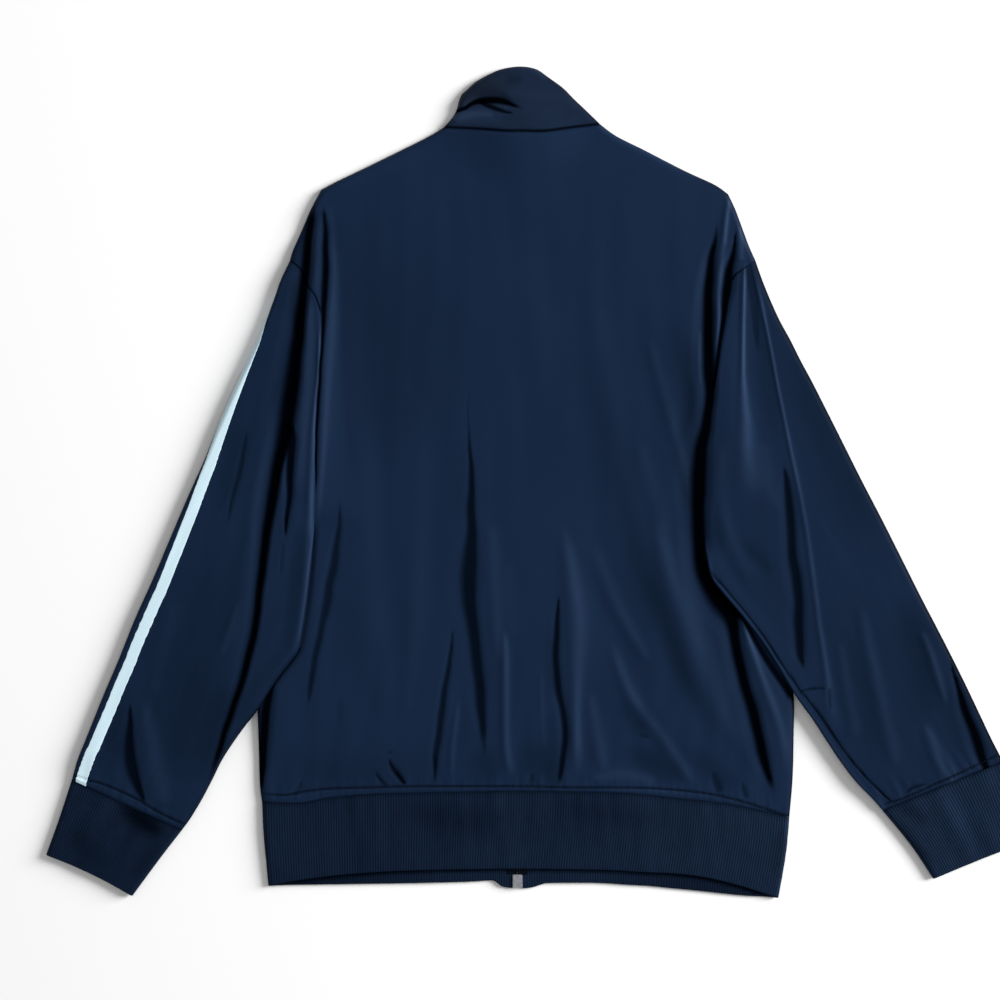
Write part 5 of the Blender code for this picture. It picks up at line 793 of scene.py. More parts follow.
# ------------------------------------------------------------------ the back
def side_points(side, counts):
    """One side of the back panel, from the hem to the shoulder's tip."""
    parts = [(side_left if side < 0 else side_right, False), (armhole[side], True), (cap[side], True), (drop_left if side < 0 else drop_right, False)]
    points = []
    for k, ((curve, reverse), n) in enumerate(zip(parts, counts)):
        q = np.linspace(0, 1, n, endpoint=False)
        if k == 0 and n > 100:  # close together by the waistband's two seams
            near = 19.0 / curve.length
            q = np.concatenate([np.linspace(0, near, 28, endpoint=False), np.linspace(near, 1, n - 28, endpoint=False)])
        points.append(curve.at(1 - q if reverse else q))
    last = (drop_left if side < 0 else drop_right).at(np.array([1.0]))
    return np.vstack(points + [last])


def shares(length, step, ends=(0, 0.12, 0.4, 0.9, 1.6, 2.5, 3.6, 5.0, 6.6, 8.4)):
    """Shares of a length, close together at both ends, where the cloth turns."""
    ends = np.array(ends)
    middle = np.linspace(ends[-1], length - ends[-1], max(2, int(round((length - 2 * ends[-1]) / step)) + 1))[1:-1]
    return np.concatenate([ends, middle, (length - ends)[::-1]]) / length


def blend_four(bottom, top, left, right, u, v):
    """A surface between four edges."""
    u, v = u[None, :, None], v[:, None, None]
    sheet = left[:, None] * (1 - u) + right[:, None] * u + bottom[None] * (1 - v) + top[None] * v
    return sheet - ((bottom[0] * (1 - u) + bottom[-1] * u) * (1 - v) + (top[0] * (1 - u) + top[-1] * u) * v)


def back_sheet():
    u = shares(500.0, 1.54)
    counts = (130, 96, 24, 30)
    left, right = side_points(-1, counts), side_points(1, counts)
    middle = (left[:, 1] + right[:, 1]) / 2
    v = (middle - middle[0]) / (middle[-1] - middle[0])
    v = np.maximum.accumulate(v)
    bottom = hem_seam.at(u)
    a, b = 0.2705, 0.684
    top = np.empty((len(u), 2))
    one, two, three = u <= a, (u > a) & (u <= b), u > b
    top[one] = shoulder_left.at(u[one] / a)
    top[two] = neck_seam.at((u[two] - a) / (b - a))
    top[three] = shoulder_right.at((u[three] - b) / (1 - b))
    flat = blend_four(bottom, top, left, right, u, v)
    x, y = flat[..., 0], flat[..., 1]
    height, light, gloss = relief("b", x, y)
    above = y - hem_seam.height(x)
    puff = 1.6 * smooth(0, 70, above) * smooth(0, 90, 330 - y)
    level = 5.9 + puff
    level += 0.10 * waves(x, y, 3, 90, 40, 420) * smooth(6, 60, above) * smooth(10, 80, 320 - y)
    level += 0.16 * waves(x, y, 4, 82, 26, 160) * (1 - smooth(20, 190, above)) * smooth(0, 16, above)
    level += 0.13 * waves(x, y, 5, 90, 9, 60) * (1 - smooth(4, 26, above)) * smooth(0.5, 4, above)
    level += 0.20 * waves(x, y, 6, 108, 70, 500) * smooth(20, 90, above)
    level += 0.16 * waves(x, y, 7, 20, 120, 160)
    for side in (-1, 1):
        d = armhole[side].distance(x, y)
        above_underarm = smooth(UNDERARM_Y[side] - 30, UNDERARM_Y[side] + 5, y)
        level = mix(level, seam_level(side, y), (1 - smooth(0, 30, d)) * above_underarm)
        level = mix(level, SEAM_LEVEL, 1 - smooth(0, 24, cap[side].distance(x, y)))
    level += slider_bump(x, y)
    under_sleeve = np.minimum(side_left.distance(x, y), side_right.distance(x, y))
    for side, fold in ((-1, LEFT_FOLD), (1, RIGHT_FOLD)):
        d, which, _ = nearest(spline(fold, 4), x.ravel(), y.ravel())
        inside = (d * which * side).reshape(x.shape)
        covered = smooth(-5, 1.5, inside) * smooth(UNDERARM_Y[side] + 4, UNDERARM_Y[side] - 16, y) * smooth(120, 60, np.hypot(x - side * 240, y + 90))
        level = mix(level, 6.15, covered)
        height = height * (1 - 0.8 * covered)
        near_corner = smooth(UNDERARM_Y[side] - 34, UNDERARM_Y[side] - 8, y) * (x * side > 0)
        under_sleeve = under_sleeve + 9 * near_corner
    level += height
    # hollow beneath the stitched edge of the waistband and at the neck
    level -= 0.8 * np.exp(-((above / 2.2) ** 2))
    neck = neck_seam.distance(x, y)
    level -= 1.0 * np.exp(-((neck / 2.0) ** 2))
    level = np.maximum(level, 1.9)
    edge = np.minimum(rim(x, y), 1e9)
    z = roll(level, rim_level(x, y), edge, EDGE_REACH)
    z = roll(z, 2.6, under_sleeve, 9.0)
    # painted shade at the neck and waistband seams, along the rims and under the sleeves
    light = light * mix(0.15, 1.0, smooth(0.5, 2.4, neck)) * mix(0.42, 1.0, smooth(0.3, 1.8, above))
    right = smooth(100, 170, x)
    light *= mix(1.0, rim_shade(level - rim_level(x, y), edge, EDGE_REACH), right) * mix(mix(0.62, 0.45, right), 1.0, smooth(0.0, 2.0, edge))
    light *= mix(1.0, rim_shade(level - 2.6, under_sleeve, 9.0), right) * mix(0.4, 1.0, smooth(0.0, 2.6, under_sleeve))
    points = np.dstack([x, y, z])
    # the turned edge goes on under the rim
    tuck = []
    for column, inner in ((0, 6), (-1, -7)):
        for share, drop in ((0.12, 0.45), (0.35, 0.8), (0.8, 1.0)):
            p = points[:, column].copy()
            way = points[:, inner] - p
            way[:, 2] = 0
            way /= np.linalg.norm(way, axis=1)[:, None]
            p += way * share * 4.0
            p[:, 2] = np.maximum(p[:, 2] * (1 - drop) + 0.4 * drop, 0.4)
            tuck.append(p)
    points = np.concatenate([np.stack(tuck[2::-1], 1), points, np.stack(tuck[3:], 1)], 1)
    pad = lambda a: np.concatenate([a[:, :1]] * 3 + [a] + [a[:, -1:]] * 3, 1)
    return points, pad(light), pad(gloss)


# --------------------------------------------------------------- the sleeves
def sleeve_sheet(side):
    """The ring of a sleeve: its lower layer from the inner edge, round the outer fold, and the upper layer back to the inner edge."""
    piece = "l" if side < 0 else "r"
    pairs = np.array(LEFT_PAIRS if side < 0 else RIGHT_PAIRS, float)
    outer, inner = outer_edge[side], inner_edge[side]
    o = np.array([outer.share_of(p[0], p[1]) for p in pairs])
    i = np.array([inner.share_of(p[2], p[3]) for p in pairs])
    o[0], i[0], o[-1], i[-1] = 0, 0, 1, 1
    fine = 25
    stations = spline(np.column_stack([o, i]), fine)
    stations = np.maximum.accumulate(np.clip(stations, 0, 1), axis=0)
    even = np.arange(len(stations)) / fine
    at = np.concatenate([even[:-fine], np.linspace(even[-fine], even[-1], 56)])  # close together by the cuff's seams
    stations = np.stack([np.interp(at, even, stations[:, k]) for k in (0, 1)], -1)
    out_pt, in_pt = outer.at(stations[:, 0]), inner.at(stations[:, 1])
    if side < 0:
        cap_curve = cap[side]
    span = np.linalg.norm(out_pt - in_pt, axis=1)
    folded = smooth(UNDERARM - 0.12, UNDERARM + (0.9 if side < 0 else 0.35), at)
    fold_mid = mix(8.4, 3.1, smooth(6.9, 8.6, at) if side < 0 else smooth(6.8, 8.2, at))
    fold_top = mix(10.2, 6.2, smooth(6.9, 9.0, at) if side < 0 else smooth(6.8, 8.8, at))
    low_end = mix(0.4, 6.9, folded) * (1 - smooth(6.9, 8.6, at)) + 0.4 * smooth(6.9, 8.6, at)
    # upper layer
    u = shares(110.0, 1.05, (0, 0.05, 0.2, 0.5, 0.9, 1.5, 2.3, 3.3, 4.6, 6.0))
    flat = out_pt[:, None] + (in_pt - out_pt)[:, None] * u[None, :, None]
    # the first row follows the curved cap seam
    curve_row = cap[side].at(u)
    bend = (curve_row - flat[0])[None] * (1 - smooth(0, 1.2, at))[:, None, None]
    flat = flat + bend
    x, y = flat[..., 0], flat[..., 1]
    height, light, gloss = relief(piece, x, y)
    across = u[None] * span[:, None]
    from_inner = span[:, None] - across
    at2 = at[:, None]
    grain = np.degrees(np.arctan2(out_pt[-1, 1] - out_pt[len(at) // 3, 1], out_pt[-1, 0] - out_pt[len(at) // 3, 0]))
    level = np.full_like(x, 8.4)
    if side > 0:
        level += 1.8 * smooth(20, 70, from_inner) * (1 - smooth(8, 9.6, at2)) * 0.5 + 1.2 * smooth(1.5, 4, at2) * (1 - smooth(6.5, 9, at2))
    level += (0.14 if side < 0 else 0.06) * waves(x, y, 11 + side, grain, 34, 300) * smooth(0.3, 2, at2)
    level += (0.05 if side < 0 else 0.02) * waves(x, y, 21 + side, grain, 13, 120) * smooth(0.4, 2, at2)
    # the sleeve narrows into its cuff in short gathers
    to_cuff = (1 - stations[:, :1]) * outer.length
    level = mix(level, 6.6, 1 - smooth(0, 34, to_cuff))
    level += 0.20 * waves(x, y, 31 + side, grain, 14, 90) * (1 - smooth(6, 46, to_cuff)) * smooth(1.0, 5, to_cuff)
    level += 0.12 * waves(x, y, 41 + side, grain, 6, 40) * (1 - smooth(3, 15, to_cuff)) * smooth(0.5, 3, to_cuff)
    d_arm = armhole[side].distance(x, y)
    level = mix(level, seam_level(side, y), (1 - smooth(0, 20, d_arm)) * (1 - folded[:, None]))
    level = mix(level, SEAM_LEVEL, (1 - smooth(0, 24, cap[side].distance(x, y))))
    level = mix(level, np.maximum(level, fold_top[:, None]), folded[:, None] * (1 - smooth(4, 22, from_inner)))
    level += height
    level -= 0.7 * np.exp(-((to_cuff / 2.0) ** 2))
    floor = mix(1.7, 3.0, folded[:, None] * (1 - smooth(7, 8.6, at2)))
    level = np.maximum(level, floor)
    edge = outer.distance(x, y)
    z = roll(level, rim_level(x, y), edge, 3.0 if side < 0 else EDGE_REACH)
    inner_roll = roll(z, fold_mid[:, None], from_inner, 4.5 if side < 0 else 1.3)
    z = mix(z, inner_roll, folded[:, None])
    # painted shade at the cuff seam and along the rims, and a painted highlight along the inner fold
    light = light * mix(0.5, 1.0, smooth(0.3, 2.0, to_cuff))
    if side < 0:
        light *= mix(0.5, 1.0, smooth(0.0, 2.4, edge)) * 0.97
        below = smooth(-150, -166, y)
        crest = 1 + 0.24 * np.exp(-(((from_inner - 3.4) / 3.4) ** 2)) * (1 - below) * smooth(UNDERARM - 0.1, UNDERARM + 0.6, at2)
        turned = rim_shade(level - fold_mid[:, None], from_inner, 4.5) * crest * mix(mix(0.7, 0.35, below), 1.0, smooth(0.0, 1.4, from_inner))
        light *= mix(1.0, turned, folded[:, None])
    else:
        light *= mix(0.42, 1.0, smooth(1.2, 5.6, edge))
        gloss = gloss * mix(0.5, 1.0, smooth(1.2, 5.6, edge))
        light *= rim_shade(level - rim_level(x, y), edge, EDGE_REACH) * mix(0.45, 1.0, smooth(0.1, 1.5, edge)) * mix(0.90, 0.84, smooth(4, 8, at2)) * mix(1.0, mix(0.55, 1.0, smooth(0.5, 7.0, edge)), smooth(-90, -170, y))
        light *= mix(1.0, mix(0.7, 1.0, smooth(0, 0.8, from_inner)) * (1 + 0.4 * np.exp(-(((from_inner - 2.0) / 2.0) ** 2))), folded[:, None])
    upper = np.dstack([x, y, z])
    # lower layer, from the inner edge to the outer fold
    w = shares(110.0, 4.5, (0, 0.15, 0.6, 1.3, 2.2, 3.2, 4.4))[::-1]
    low = out_pt[:, None] + (in_pt - out_pt)[:, None] * w[None, :, None]
    low += (cap[side].at(w) - low[0])[None] * (1 - smooth(0, 1.2, at))[:, None, None]
    lx, ly = low[..., 0], low[..., 1]
    body = side_left if side < 0 else side_right
    d, which, _ = nearest(body.p[::3], lx.ravel(), ly.ravel())
    outside = (d * which * side).reshape(lx.shape) * -1
    base = np.full_like(lx, FLOOR_GAP + 0.25) + 0.25 * (1 + waves(lx, ly, 51 + side, grain, 30, 260))
    over = smooth(17, 1.5, outside * 1.0) * folded[:, None] * (1 - smooth(7.6, 8.8, at2))
    base = mix(base, 6.9, over)
    w_from_in, w_from_out = (1 - w)[None] * span[:, None], w[None] * span[:, None]
    lz = roll(base, rim_level(lx, ly), w_from_out, 5.0)
    lz = mix(lz, roll(lz, fold_mid[:, None], w_from_in, 3.0), folded[:, None])
    lower = np.dstack([lx, ly, lz])
    points = np.concatenate([lower[:, :-1], upper], 1)
    ones = np.ones_like(lx[:, :-1])
    light = np.concatenate([ones * 0.9, light], 1)
    gloss = np.concatenate([ones * 0.0, gloss], 1)
    # above the underarm the upper layer's end tucks under the seam
    end = points[:, -1].copy()
    end[:, 2] -= 1.6 * (1 - folded)
    points = np.concatenate([points, end[:, None]], 1)
    light = np.concatenate([light, light[:, -1:]], 1)
    gloss = np.concatenate([gloss, gloss[:, -1:]], 1)
    return points, light, gloss, lower.shape[1] - 1, at


# ----------------------------------------------------------------- rib bands
RIB_HEIGHT = 0.27
RIB_COLUMNS = 6


def rib_profile(phase):
    """Height of a rib, 0 in its valley and 1 on its crest."""
    return np.abs(np.cos(pi * phase)) ** 0.75


def ribbed(middle, outward, length_across, count):
    """Adds ribs to a grid whose columns run across them."""
    phase = length_across / RIB_PITCH
    crest = rib_profile(phase)
    return middle + outward * (RIB_HEIGHT * (crest - 0.6))[..., None], 1 - crest


def resample(points, count):
    """A polyline (n, k) as count points evenly along it."""
    s = np.concatenate([[0], np.cumsum(np.linalg.norm(np.diff(points[:, :3], axis=0), axis=1))])
    q = np.linspace(0, s[-1], count)
    return np.stack([np.interp(q, s, points[:, k]) for k in range(points.shape[1])], -1), q


def band_ring(rows_of_points, rib_total, turn_in, turn_radius):
    """A rib band from its section polylines, one for each step from its seam to its open edge, with the edge turned in. Each polyline is (n, 6): a middle point and its outward direction."""
    count = rib_total * RIB_COLUMNS + 1
    rows, reach = [], []
    for polyline in rows_of_points:
        made, q = resample(polyline, count)
        rows.append(made)
        reach.append(q)
    rows = np.stack(rows)
    middle, outward = rows[..., :3], rows[..., 3:]
    outward = outward / np.linalg.norm(outward, axis=-1)[..., None]
    phase_row = np.linspace(0, rib_total, count)
    crest = rib_profile(phase_row)[None].repeat(len(rows), 0)
    # the fold at the open edge
    along = middle[-1] - middle[-2]
    along /= np.linalg.norm(along, axis=-1)[:, None]
    last, out = middle[-1] - along * turn_radius, outward[-1]
    middle[-1] = last
    turned_m, turned_o = [], []
    for turn in np.linspace(0, pi, 7)[1:]:
        way = out * cos(turn) + along * sin(turn)
        turned_m.append(last - out * turn_radius + way * turn_radius)
        turned_o.append(way)
    for deep in turn_in:
        turned_m.append(turned_m[5] - along * deep)
        turned_o.append(turned_o[5])
    middle = np.concatenate([middle, np.stack(turned_m)])
    outward = np.concatenate([outward, np.stack(turned_o)])
    crest = rib_profile(phase_row)[None].repeat(len(middle), 0)
    points = middle + outward * (RIB_HEIGHT * (crest - 0.6))[..., None]
    return points, 1 - crest, phase_row


def hem_rows(steps):
    """Polylines of the waistband: from the zip, under the left side, over the top and back to the zip under the right side."""
    back_edge, front_edge = Curve(HEM_BACK_EDGE), Curve(HEM_FRONT_EDGE)
    left_edge, right_edge = Curve(HEM_LEFT_EDGE), Curve(HEM_RIGHT_EDGE)
    made = []
    for k in range(steps + 1):
        v = k / steps
        q = np.linspace(0, 1, 240)
        top = mix(hem_seam.at(q), back_edge.at(q), v)
        bend = []
        for edge, start, end in ((left_edge, HEM_SEAM[0], HEM_BACK_EDGE[0]), (right_edge, HEM_SEAM[-1], HEM_BACK_EDGE[-1])):
            p = edge.at(np.array([v]))[0]
            bend.append(p[0] - mix(start[0], end[0], v))
        top[:, 0] += mix(bend[0], bend[1], q)
        wave = 0.35 * waves(top[:, 0], top[:, 1], 61, 90, 70, 300) + 0.22 * waves(top[:, 0], top[:, 1], 62, 90, 26, 140) * (1 - 0.5 * v)
        level = 5.35 + wave * smooth(0, 0.15, q) * smooth(0, 0.15, 1 - q)
        level += 0.5 * sin(pi * min(1, v * 1.0)) - 0.5 * v**3
        d_left, d_right = top[:, 0] - top[0, 0], top[-1, 0] - top[:, 0]
        z = roll(roll(level, 3.2, d_left, 5.0), 3.2, d_right, 5.0)
        # dense points where the band turns down
        tops = np.column_stack([top, z])
        ends = []
        for side in (-1, 1):
            x_side = top[0, 0] if side < 0 else top[-1, 0]
            r = np.linspace(0, 1, 120)
            x0 = mix(ZIP_X + side * 4.75, x_side, r)
            y0 = mix(front_hem_seam.height(x0), front_edge.height(x0), v)
            y_side = top[0, 1] if side < 0 else top[-1, 1]
            y0 = mix(y0, y_side, smooth(0.96, 1, r))
            d = np.abs(x_side - x0)
            low = roll(np.full_like(r, FLOOR_GAP + 0.75) + 0.12 * (1 + waves(x0, y0, 63, 90, 60, 300)), 3.2, d, 4.0)
            ends.append(np.column_stack([x0, y0, low]))
        line = np.vstack([ends[0], tops[1:-1], ends[1][::-1]])
        tangent = np.gradient(line, axis=0)
        tangent /= np.linalg.norm(tangent, axis=1)[:, None]
        outward = np.column_stack([-tangent[:, 2], np.zeros(len(line)), tangent[:, 0]])
        size = np.linalg.norm(outward, axis=1)[:, None]
        outward /= np.maximum(size, 1e-6)
        made.append(np.column_stack([line, outward]))
    return made


def cuff_rows(side, steps, start_levels):
    """Polylines of a cuff, each a closed flattened ring from the inner edge, under and over."""
    table = spline(LEFT_CUFF if side < 0 else RIGHT_CUFF, 10)
    made = []
    for k in range(steps + 1):
        v = k / steps
        row = np.array([np.interp(v * (len(table) - 1), np.arange(len(table)), table[:, c]) for c in range(4)])
        out_pt, in_pt = row[:2], row[2:]
        span = np.linalg.norm(out_pt - in_pt)
        q = np.concatenate([np.linspace(0, 0.08, 24), np.linspace(0.08, 0.92, 90)[1:-1], np.linspace(0.92, 1, 24)])
        flat = in_pt[None] + (out_pt - in_pt)[None] * q[:, None]
        up = (table[0, :2] + table[0, 2:] - table[-1, :2] - table[-1, 2:]) / 2
        flat = flat + up / np.linalg.norm(up) * ((2.2 if side < 0 else 0.6) * v**2 * np.sin(pi * q))[:, None]
        d_in, d_out = q * span, (1 - q) * span
        lift = mix(6.6, 6.2, v)
        top = lift + 0.35 * waves(flat[:, 0], flat[:, 1], 71 + side, 65 if side < 0 else -68, 34, 200) * smooth(0, 12, d_in) * smooth(0, 12, d_out)
        low = np.full_like(q, FLOOR_GAP + 0.75)
        mid_in, mid_out = mix(start_levels[0], 3.3, smooth(0, 0.5, v)), mix(start_levels[1], 3.3, smooth(0, 0.5, v))
        z_top = roll(roll(top, mid_in, d_in, 5.0), mid_out, d_out, 5.0)
        z_low = roll(roll(low, mid_in, d_in, 3.6), mid_out, d_out, 3.6)
        under = np.column_stack([flat, z_low])
        over = np.column_stack([flat, z_top])[::-1]
        line = np.vstack([under, over[1:]])
        tangent = np.gradient(line, axis=0)
        tangent /= np.linalg.norm(tangent, axis=1)[:, None]
        axis = np.array([-(out_pt - in_pt)[1], (out_pt - in_pt)[0], 0]) / span
        outward = np.cross(tangent, axis[None])
        outward /= np.maximum(np.linalg.norm(outward, axis=1)[:, None], 1e-6)
        centre = np.array([*(in_pt + out_pt) / 2, 3.4])
        if (outward * (line - centre)).sum() < 0:
            outward = -outward
        made.append(np.column_stack([line, outward]))
    return made


# ---------------------------------------------------------------- the collar
def collar_sheet():
    """The collar's back half, from its left end over the neck seam to its right end, with its edges turned under."""
    back_edge = Curve(COLLAR_BACK_EDGE)
    left_edge, right_edge = Curve(COLLAR_LEFT_EDGE), Curve(COLLAR_RIGHT_EDGE)
    u = shares(146.0, 1.0, (0, 0.08, 0.3, 0.7, 1.3, 2.1, 3.2, 4.6, 6.2))
    v = shares(57.0, 0.9, (0, 0.08, 0.3, 0.7, 1.3, 2.1, 3.2, 4.6, 6.2))
    flat = blend_four(neck_seam.at(u), back_edge.at(u), left_edge.at(v), right_edge.at(v), u, v)
    x, y = flat[..., 0], flat[..., 1]
    height, light, gloss = relief("c", x, y)
    above = neck_seam.distance(x, y)
    sides = np.minimum(left_edge.distance(x, y), right_edge.distance(x, y))
    top = back_edge.distance(x, y)
    level = 6.4 + slider_bump(x, y) + 1.2 * smooth(0, 22, above) + 0.25 * waves(x, y, 81, 15, 22, 90)
    level += height
    level -= 0.9 * np.exp(-((above / 1.8) ** 2))
    level = np.maximum(level, 2.4)
    z = roll(roll(level, 3.0, sides, 6.0), 3.2, top, 6.5)
    # painted shade at the neck seam, along the turned edges and on the right end
    light = light * mix(0.15, 1.0, smooth(0.5, 2.4, above)) * mix(0.5, 1.0, smooth(0, 1.8, np.minimum(sides, top))) * 0.90
    from_right = right_edge.distance(x, y)
    light *= rim_shade(level - 3.0, from_right, 6.0)
    # the left end above the crease shows the duller inside of the band
    line = np.interp(x, *np.array([(-76, 347), (-67, 348), (-60, 352), (-52, 355), (-40, 355), (-30, 352), (-18, 348)]).T)
    dull = 0.4 + 0.5 * smooth(-1, 5, y - line) * (1 - smooth(-48, -14, x))
    points = np.dstack([x, y, z])
    rim_row = points[-1:].copy()
    rows = [points]
    for share, drop in ((0.25, 0.5), (0.8, 1.0)):
        extra = rim_row.copy()
        extra[..., 1] -= share * 3.0
        extra[..., 2] = extra[..., 2] * (1 - drop) + 1.2 * drop
        rows.append(extra)
    points = np.concatenate(rows)
    pad = lambda a: np.concatenate([a, a[-1:], a[-1:]])
    return points, pad(light), pad(gloss), pad(dull)


def collar_front(side):
    """A hidden front end of the collar, flat under its back half."""
    front_edge = Curve(COLLAR_FRONT_EDGE)
    edge_x = ZIP_X + side * 6.0
    made = []
    u, v = np.linspace(0, 1, 40), shares(60.0, 2.4, (0, 0.3, 1.0, 2.2))
    for curve in (front_neck, front_edge):
        share = curve.s[np.argmin(np.abs(curve.p[:, 0] - edge_x))]
        made.append(curve.at(mix(share, 0.0 if side < 0 else 1.0, u)))
        made[-1][0, 0] = edge_x
    low, high = made
    flat = low[None] * (1 - v[:, None, None]) + high[None] * v[:, None, None]
    x, y = flat[..., 0], flat[..., 1]
    rim = np.array(COLLAR_LEFT_EDGE if side < 0 else COLLAR_RIGHT_EDGE, float)
    limit = np.interp(y, rim[:, 1], rim[:, 0]) - side * 1.4
    x = np.maximum(x, limit) if side < 0 else np.minimum(x, limit)
    lift = 4.0 * smooth(296, 320, y) * (1 - smooth(8, 44, np.abs(x - ZIP_X)))
    z = FLOOR_GAP + 0.3 + lift + 0.2 * (1 + waves(x, y, 91 + side, 40, 26, 60)) + 1.2 * smooth(0.86, 1, u)[None]
    return np.dstack([x, y, z])


# ---------------------------------------------------------------- the fronts
def front_sheet(side):
    """A front panel, from the zip's edge to the side seam, almost flat on the floor."""
    counts = (70, 60, 16, 14, 30)
    shoulder = shoulder_left if side < 0 else shoulder_right
    edge = side_points(side, counts[:4])[:-1]
    # along the armhole the front's edge lies just over the sleeve's lower layer
    n0, n1 = counts[0], counts[0] + counts[1]
    over = np.sin(pi * np.linspace(0, 1, counts[1])) ** 0.5
    edge[n0:n1, 0] += side * 1.3 * over
    q = np.linspace(0, 1, counts[4])
    top = shoulder.at(q if side < 0 else 1 - q)
    outer = np.vstack([edge, top])
    neck = front_neck.p if side < 0 else front_neck.p[::-1]
    neck = neck[(neck[:, 0] * side) > (ZIP_X + side * 6.0) * side]
    neck = neck[::-1]
    inner_line = np.vstack([[(ZIP_X + side * 6.0, -299)], [(ZIP_X + side * 6.0, 272.5)], neck])
    y_goal = outer[:, 1]
    # walk up the inner edge at the outer edge's pace
    s = np.concatenate([[0], np.cumsum(np.hypot(*np.diff(inner_line, axis=0).T))])
    pace = np.concatenate([[0], np.cumsum(np.hypot(*np.diff(outer, axis=0).T))])
    split = n1 + counts[2]
    low_part = np.linspace(0, 1, split, endpoint=False) * 571.5 / s[-1]
    high_part = np.linspace(571.5 / s[-1], 1, len(outer) - split)
    inner = np.stack([np.interp(np.concatenate([low_part, high_part]) * s[-1], s, inner_line[:, k]) for k in (0, 1)], -1)
    u = np.concatenate([np.linspace(0, 0.96, 52), [0.975, 0.985, 0.992, 0.997, 1.0]])
    flat = inner[:, None] * (1 - u[None, :, None]) + outer[:, None] * u[None, :, None]
    bottom = front_hem_seam.height(flat[0, :, 0])
    ease = (1 - np.linspace(0, 1, len(flat)) * 4).clip(0, 1)[:, None] ** 2
    flat[..., 1] += (bottom - flat[0, :, 1])[None] * ease
    x, y = flat[..., 0], flat[..., 1]
    z = FLOOR_GAP + 0.22 * (1 + waves(x, y, 101 + side, 88, 40, 260)) + 0.10 * (1 + waves(x, y, 103 + side, 70, 14, 90))
    z = z + 0.35 * smooth(0.97, 1, u)[None]
    rise = np.zeros(len(flat))
    rise[n0:n1] = over
    z = z + 0.9 * rise[:, None] * smooth(0.972, 0.995, u)[None]
    return np.dstack([x, y, z])


# ============================================================ build the pieces
def fit_count(length):
    return int(round(length / RIB_PITCH))


def declare(obj, nodes):
    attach(obj, "jacket")
    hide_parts(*nodes)
    return obj


back_points, back_light, back_gloss = back_sheet()
back = sheet_mesh("back_cloth", back_points, KNIT, light=back_light, gloss=back_gloss, dull=0.0)

sleeves, sleeve_data = {}, {}
for side, word in ((-1, "left"), (1, "right")):
    points, light, gloss, split, at = sleeve_sheet(side)
    sleeve_data[side] = (points, split, at)
    sleeves[side] = sheet_mesh(f"sleeve_{word}_cloth", points, KNIT, light=light, gloss=gloss, dull=0.0)

fronts = {}
for side, word in ((-1, "left"), (1, "right")):
    points = front_sheet(side)
    fronts[side] = sheet_mesh(f"front_{word}_cloth", points, KNIT, light=0.95, gloss=0.0, dull=0.0)

hem_lines = hem_rows(26)
hem_points, hem_valley, _ = band_ring(hem_lines, fit_count(2 * 491), (2.5, 5.0, 7.0, 9.0, 11.5, 15.0, 28.0), 0.85)
v_rows = np.linspace(0, 1, len(hem_points))[:, None]
hem_light = relief("h", hem_points[..., 0], hem_points[..., 1])[1]
# painted light: lighter towards the right, shade at the seam, on the turned-in strip and in the groove under the back
# edge
hem_light *= np.interp(hem_points[..., 0], (-250, -140, -34, 80, 235), (0.95, 0.95, 0.97, 1.02, 1.24))
hem_light[:1] *= 0.6
hem_light[1:2] *= 0.9
hem_light[27:] *= np.interp(hem_points[27:, :, 0], (-250, -183, -90, 7, 59, 105, 142, 225), (0.55, 0.68, 0.98, 1.03, 1.00, 0.78, 0.62, 0.60))
hem_drop = Curve(HEM_BACK_EDGE).height(hem_points[33:, :, 0]) - hem_points[33:, :, 1]
hem_light[33:] *= mix(0.36, 1.0, smooth(1.6, 4.8, hem_drop))
hem = sheet_mesh("waistband_rib", hem_points, RIB, light=hem_light, valley=hem_valley)

cuffs = {}
for side, word in ((-1, "left"), (1, "right")):
    lines = cuff_rows(side, 24, (3.1, 3.4))
    points, valley, _ = band_ring(lines, fit_count(2 * 106), (2.5, 5.0, 9.0), 0.85)
    # painted light: the right cuff lighter, shade at the seam and on the turned-in edge
    light = relief("x" if side < 0 else "y", points[..., 0], points[..., 1])[1] * (0.96 if side < 0 else 1.2)
    light[:1] *= 0.5
    light[1:2] *= 0.82
    light[25:] *= 0.5
    cuffs[side] = sheet_mesh(f"cuff_{word}_rib", points, RIB, light=light, valley=valley)

collar_points, collar_light, collar_gloss, collar_dull = collar_sheet()
collar = sheet_mesh("collar_back_cloth", collar_points, KNIT, light=collar_light, gloss=collar_gloss, dull=collar_dull)
collar_fronts = {side: sheet_mesh(f"collar_front_{word}_cloth", collar_front(side), KNIT, light=0.9, gloss=0.0, dull=0.0) for side, word in ((-1, "left"), (1, "right"))}


# -------------------------------------------------------------- sleeve tapes
TAPE_WIDTH = 10.4
TAPE_LIFT = 0.35
# Where the tape's middle lies, in mm from the outer fold round the section;
# negative is underneath. One number for each row of the pairs table.
LEFT_TAPE = [-12.5, -1.0, 4.2, 9.1, 10.5, 14.2, 15.4, 15.1, 14.9, 15.0, 14.0, 11.2]
RIGHT_TAPE = [-13.0, -14.5, -14.5, -14.5, -14.5, -14.5, -14.5, -14.5, -14.5, -14.5, -14.5]


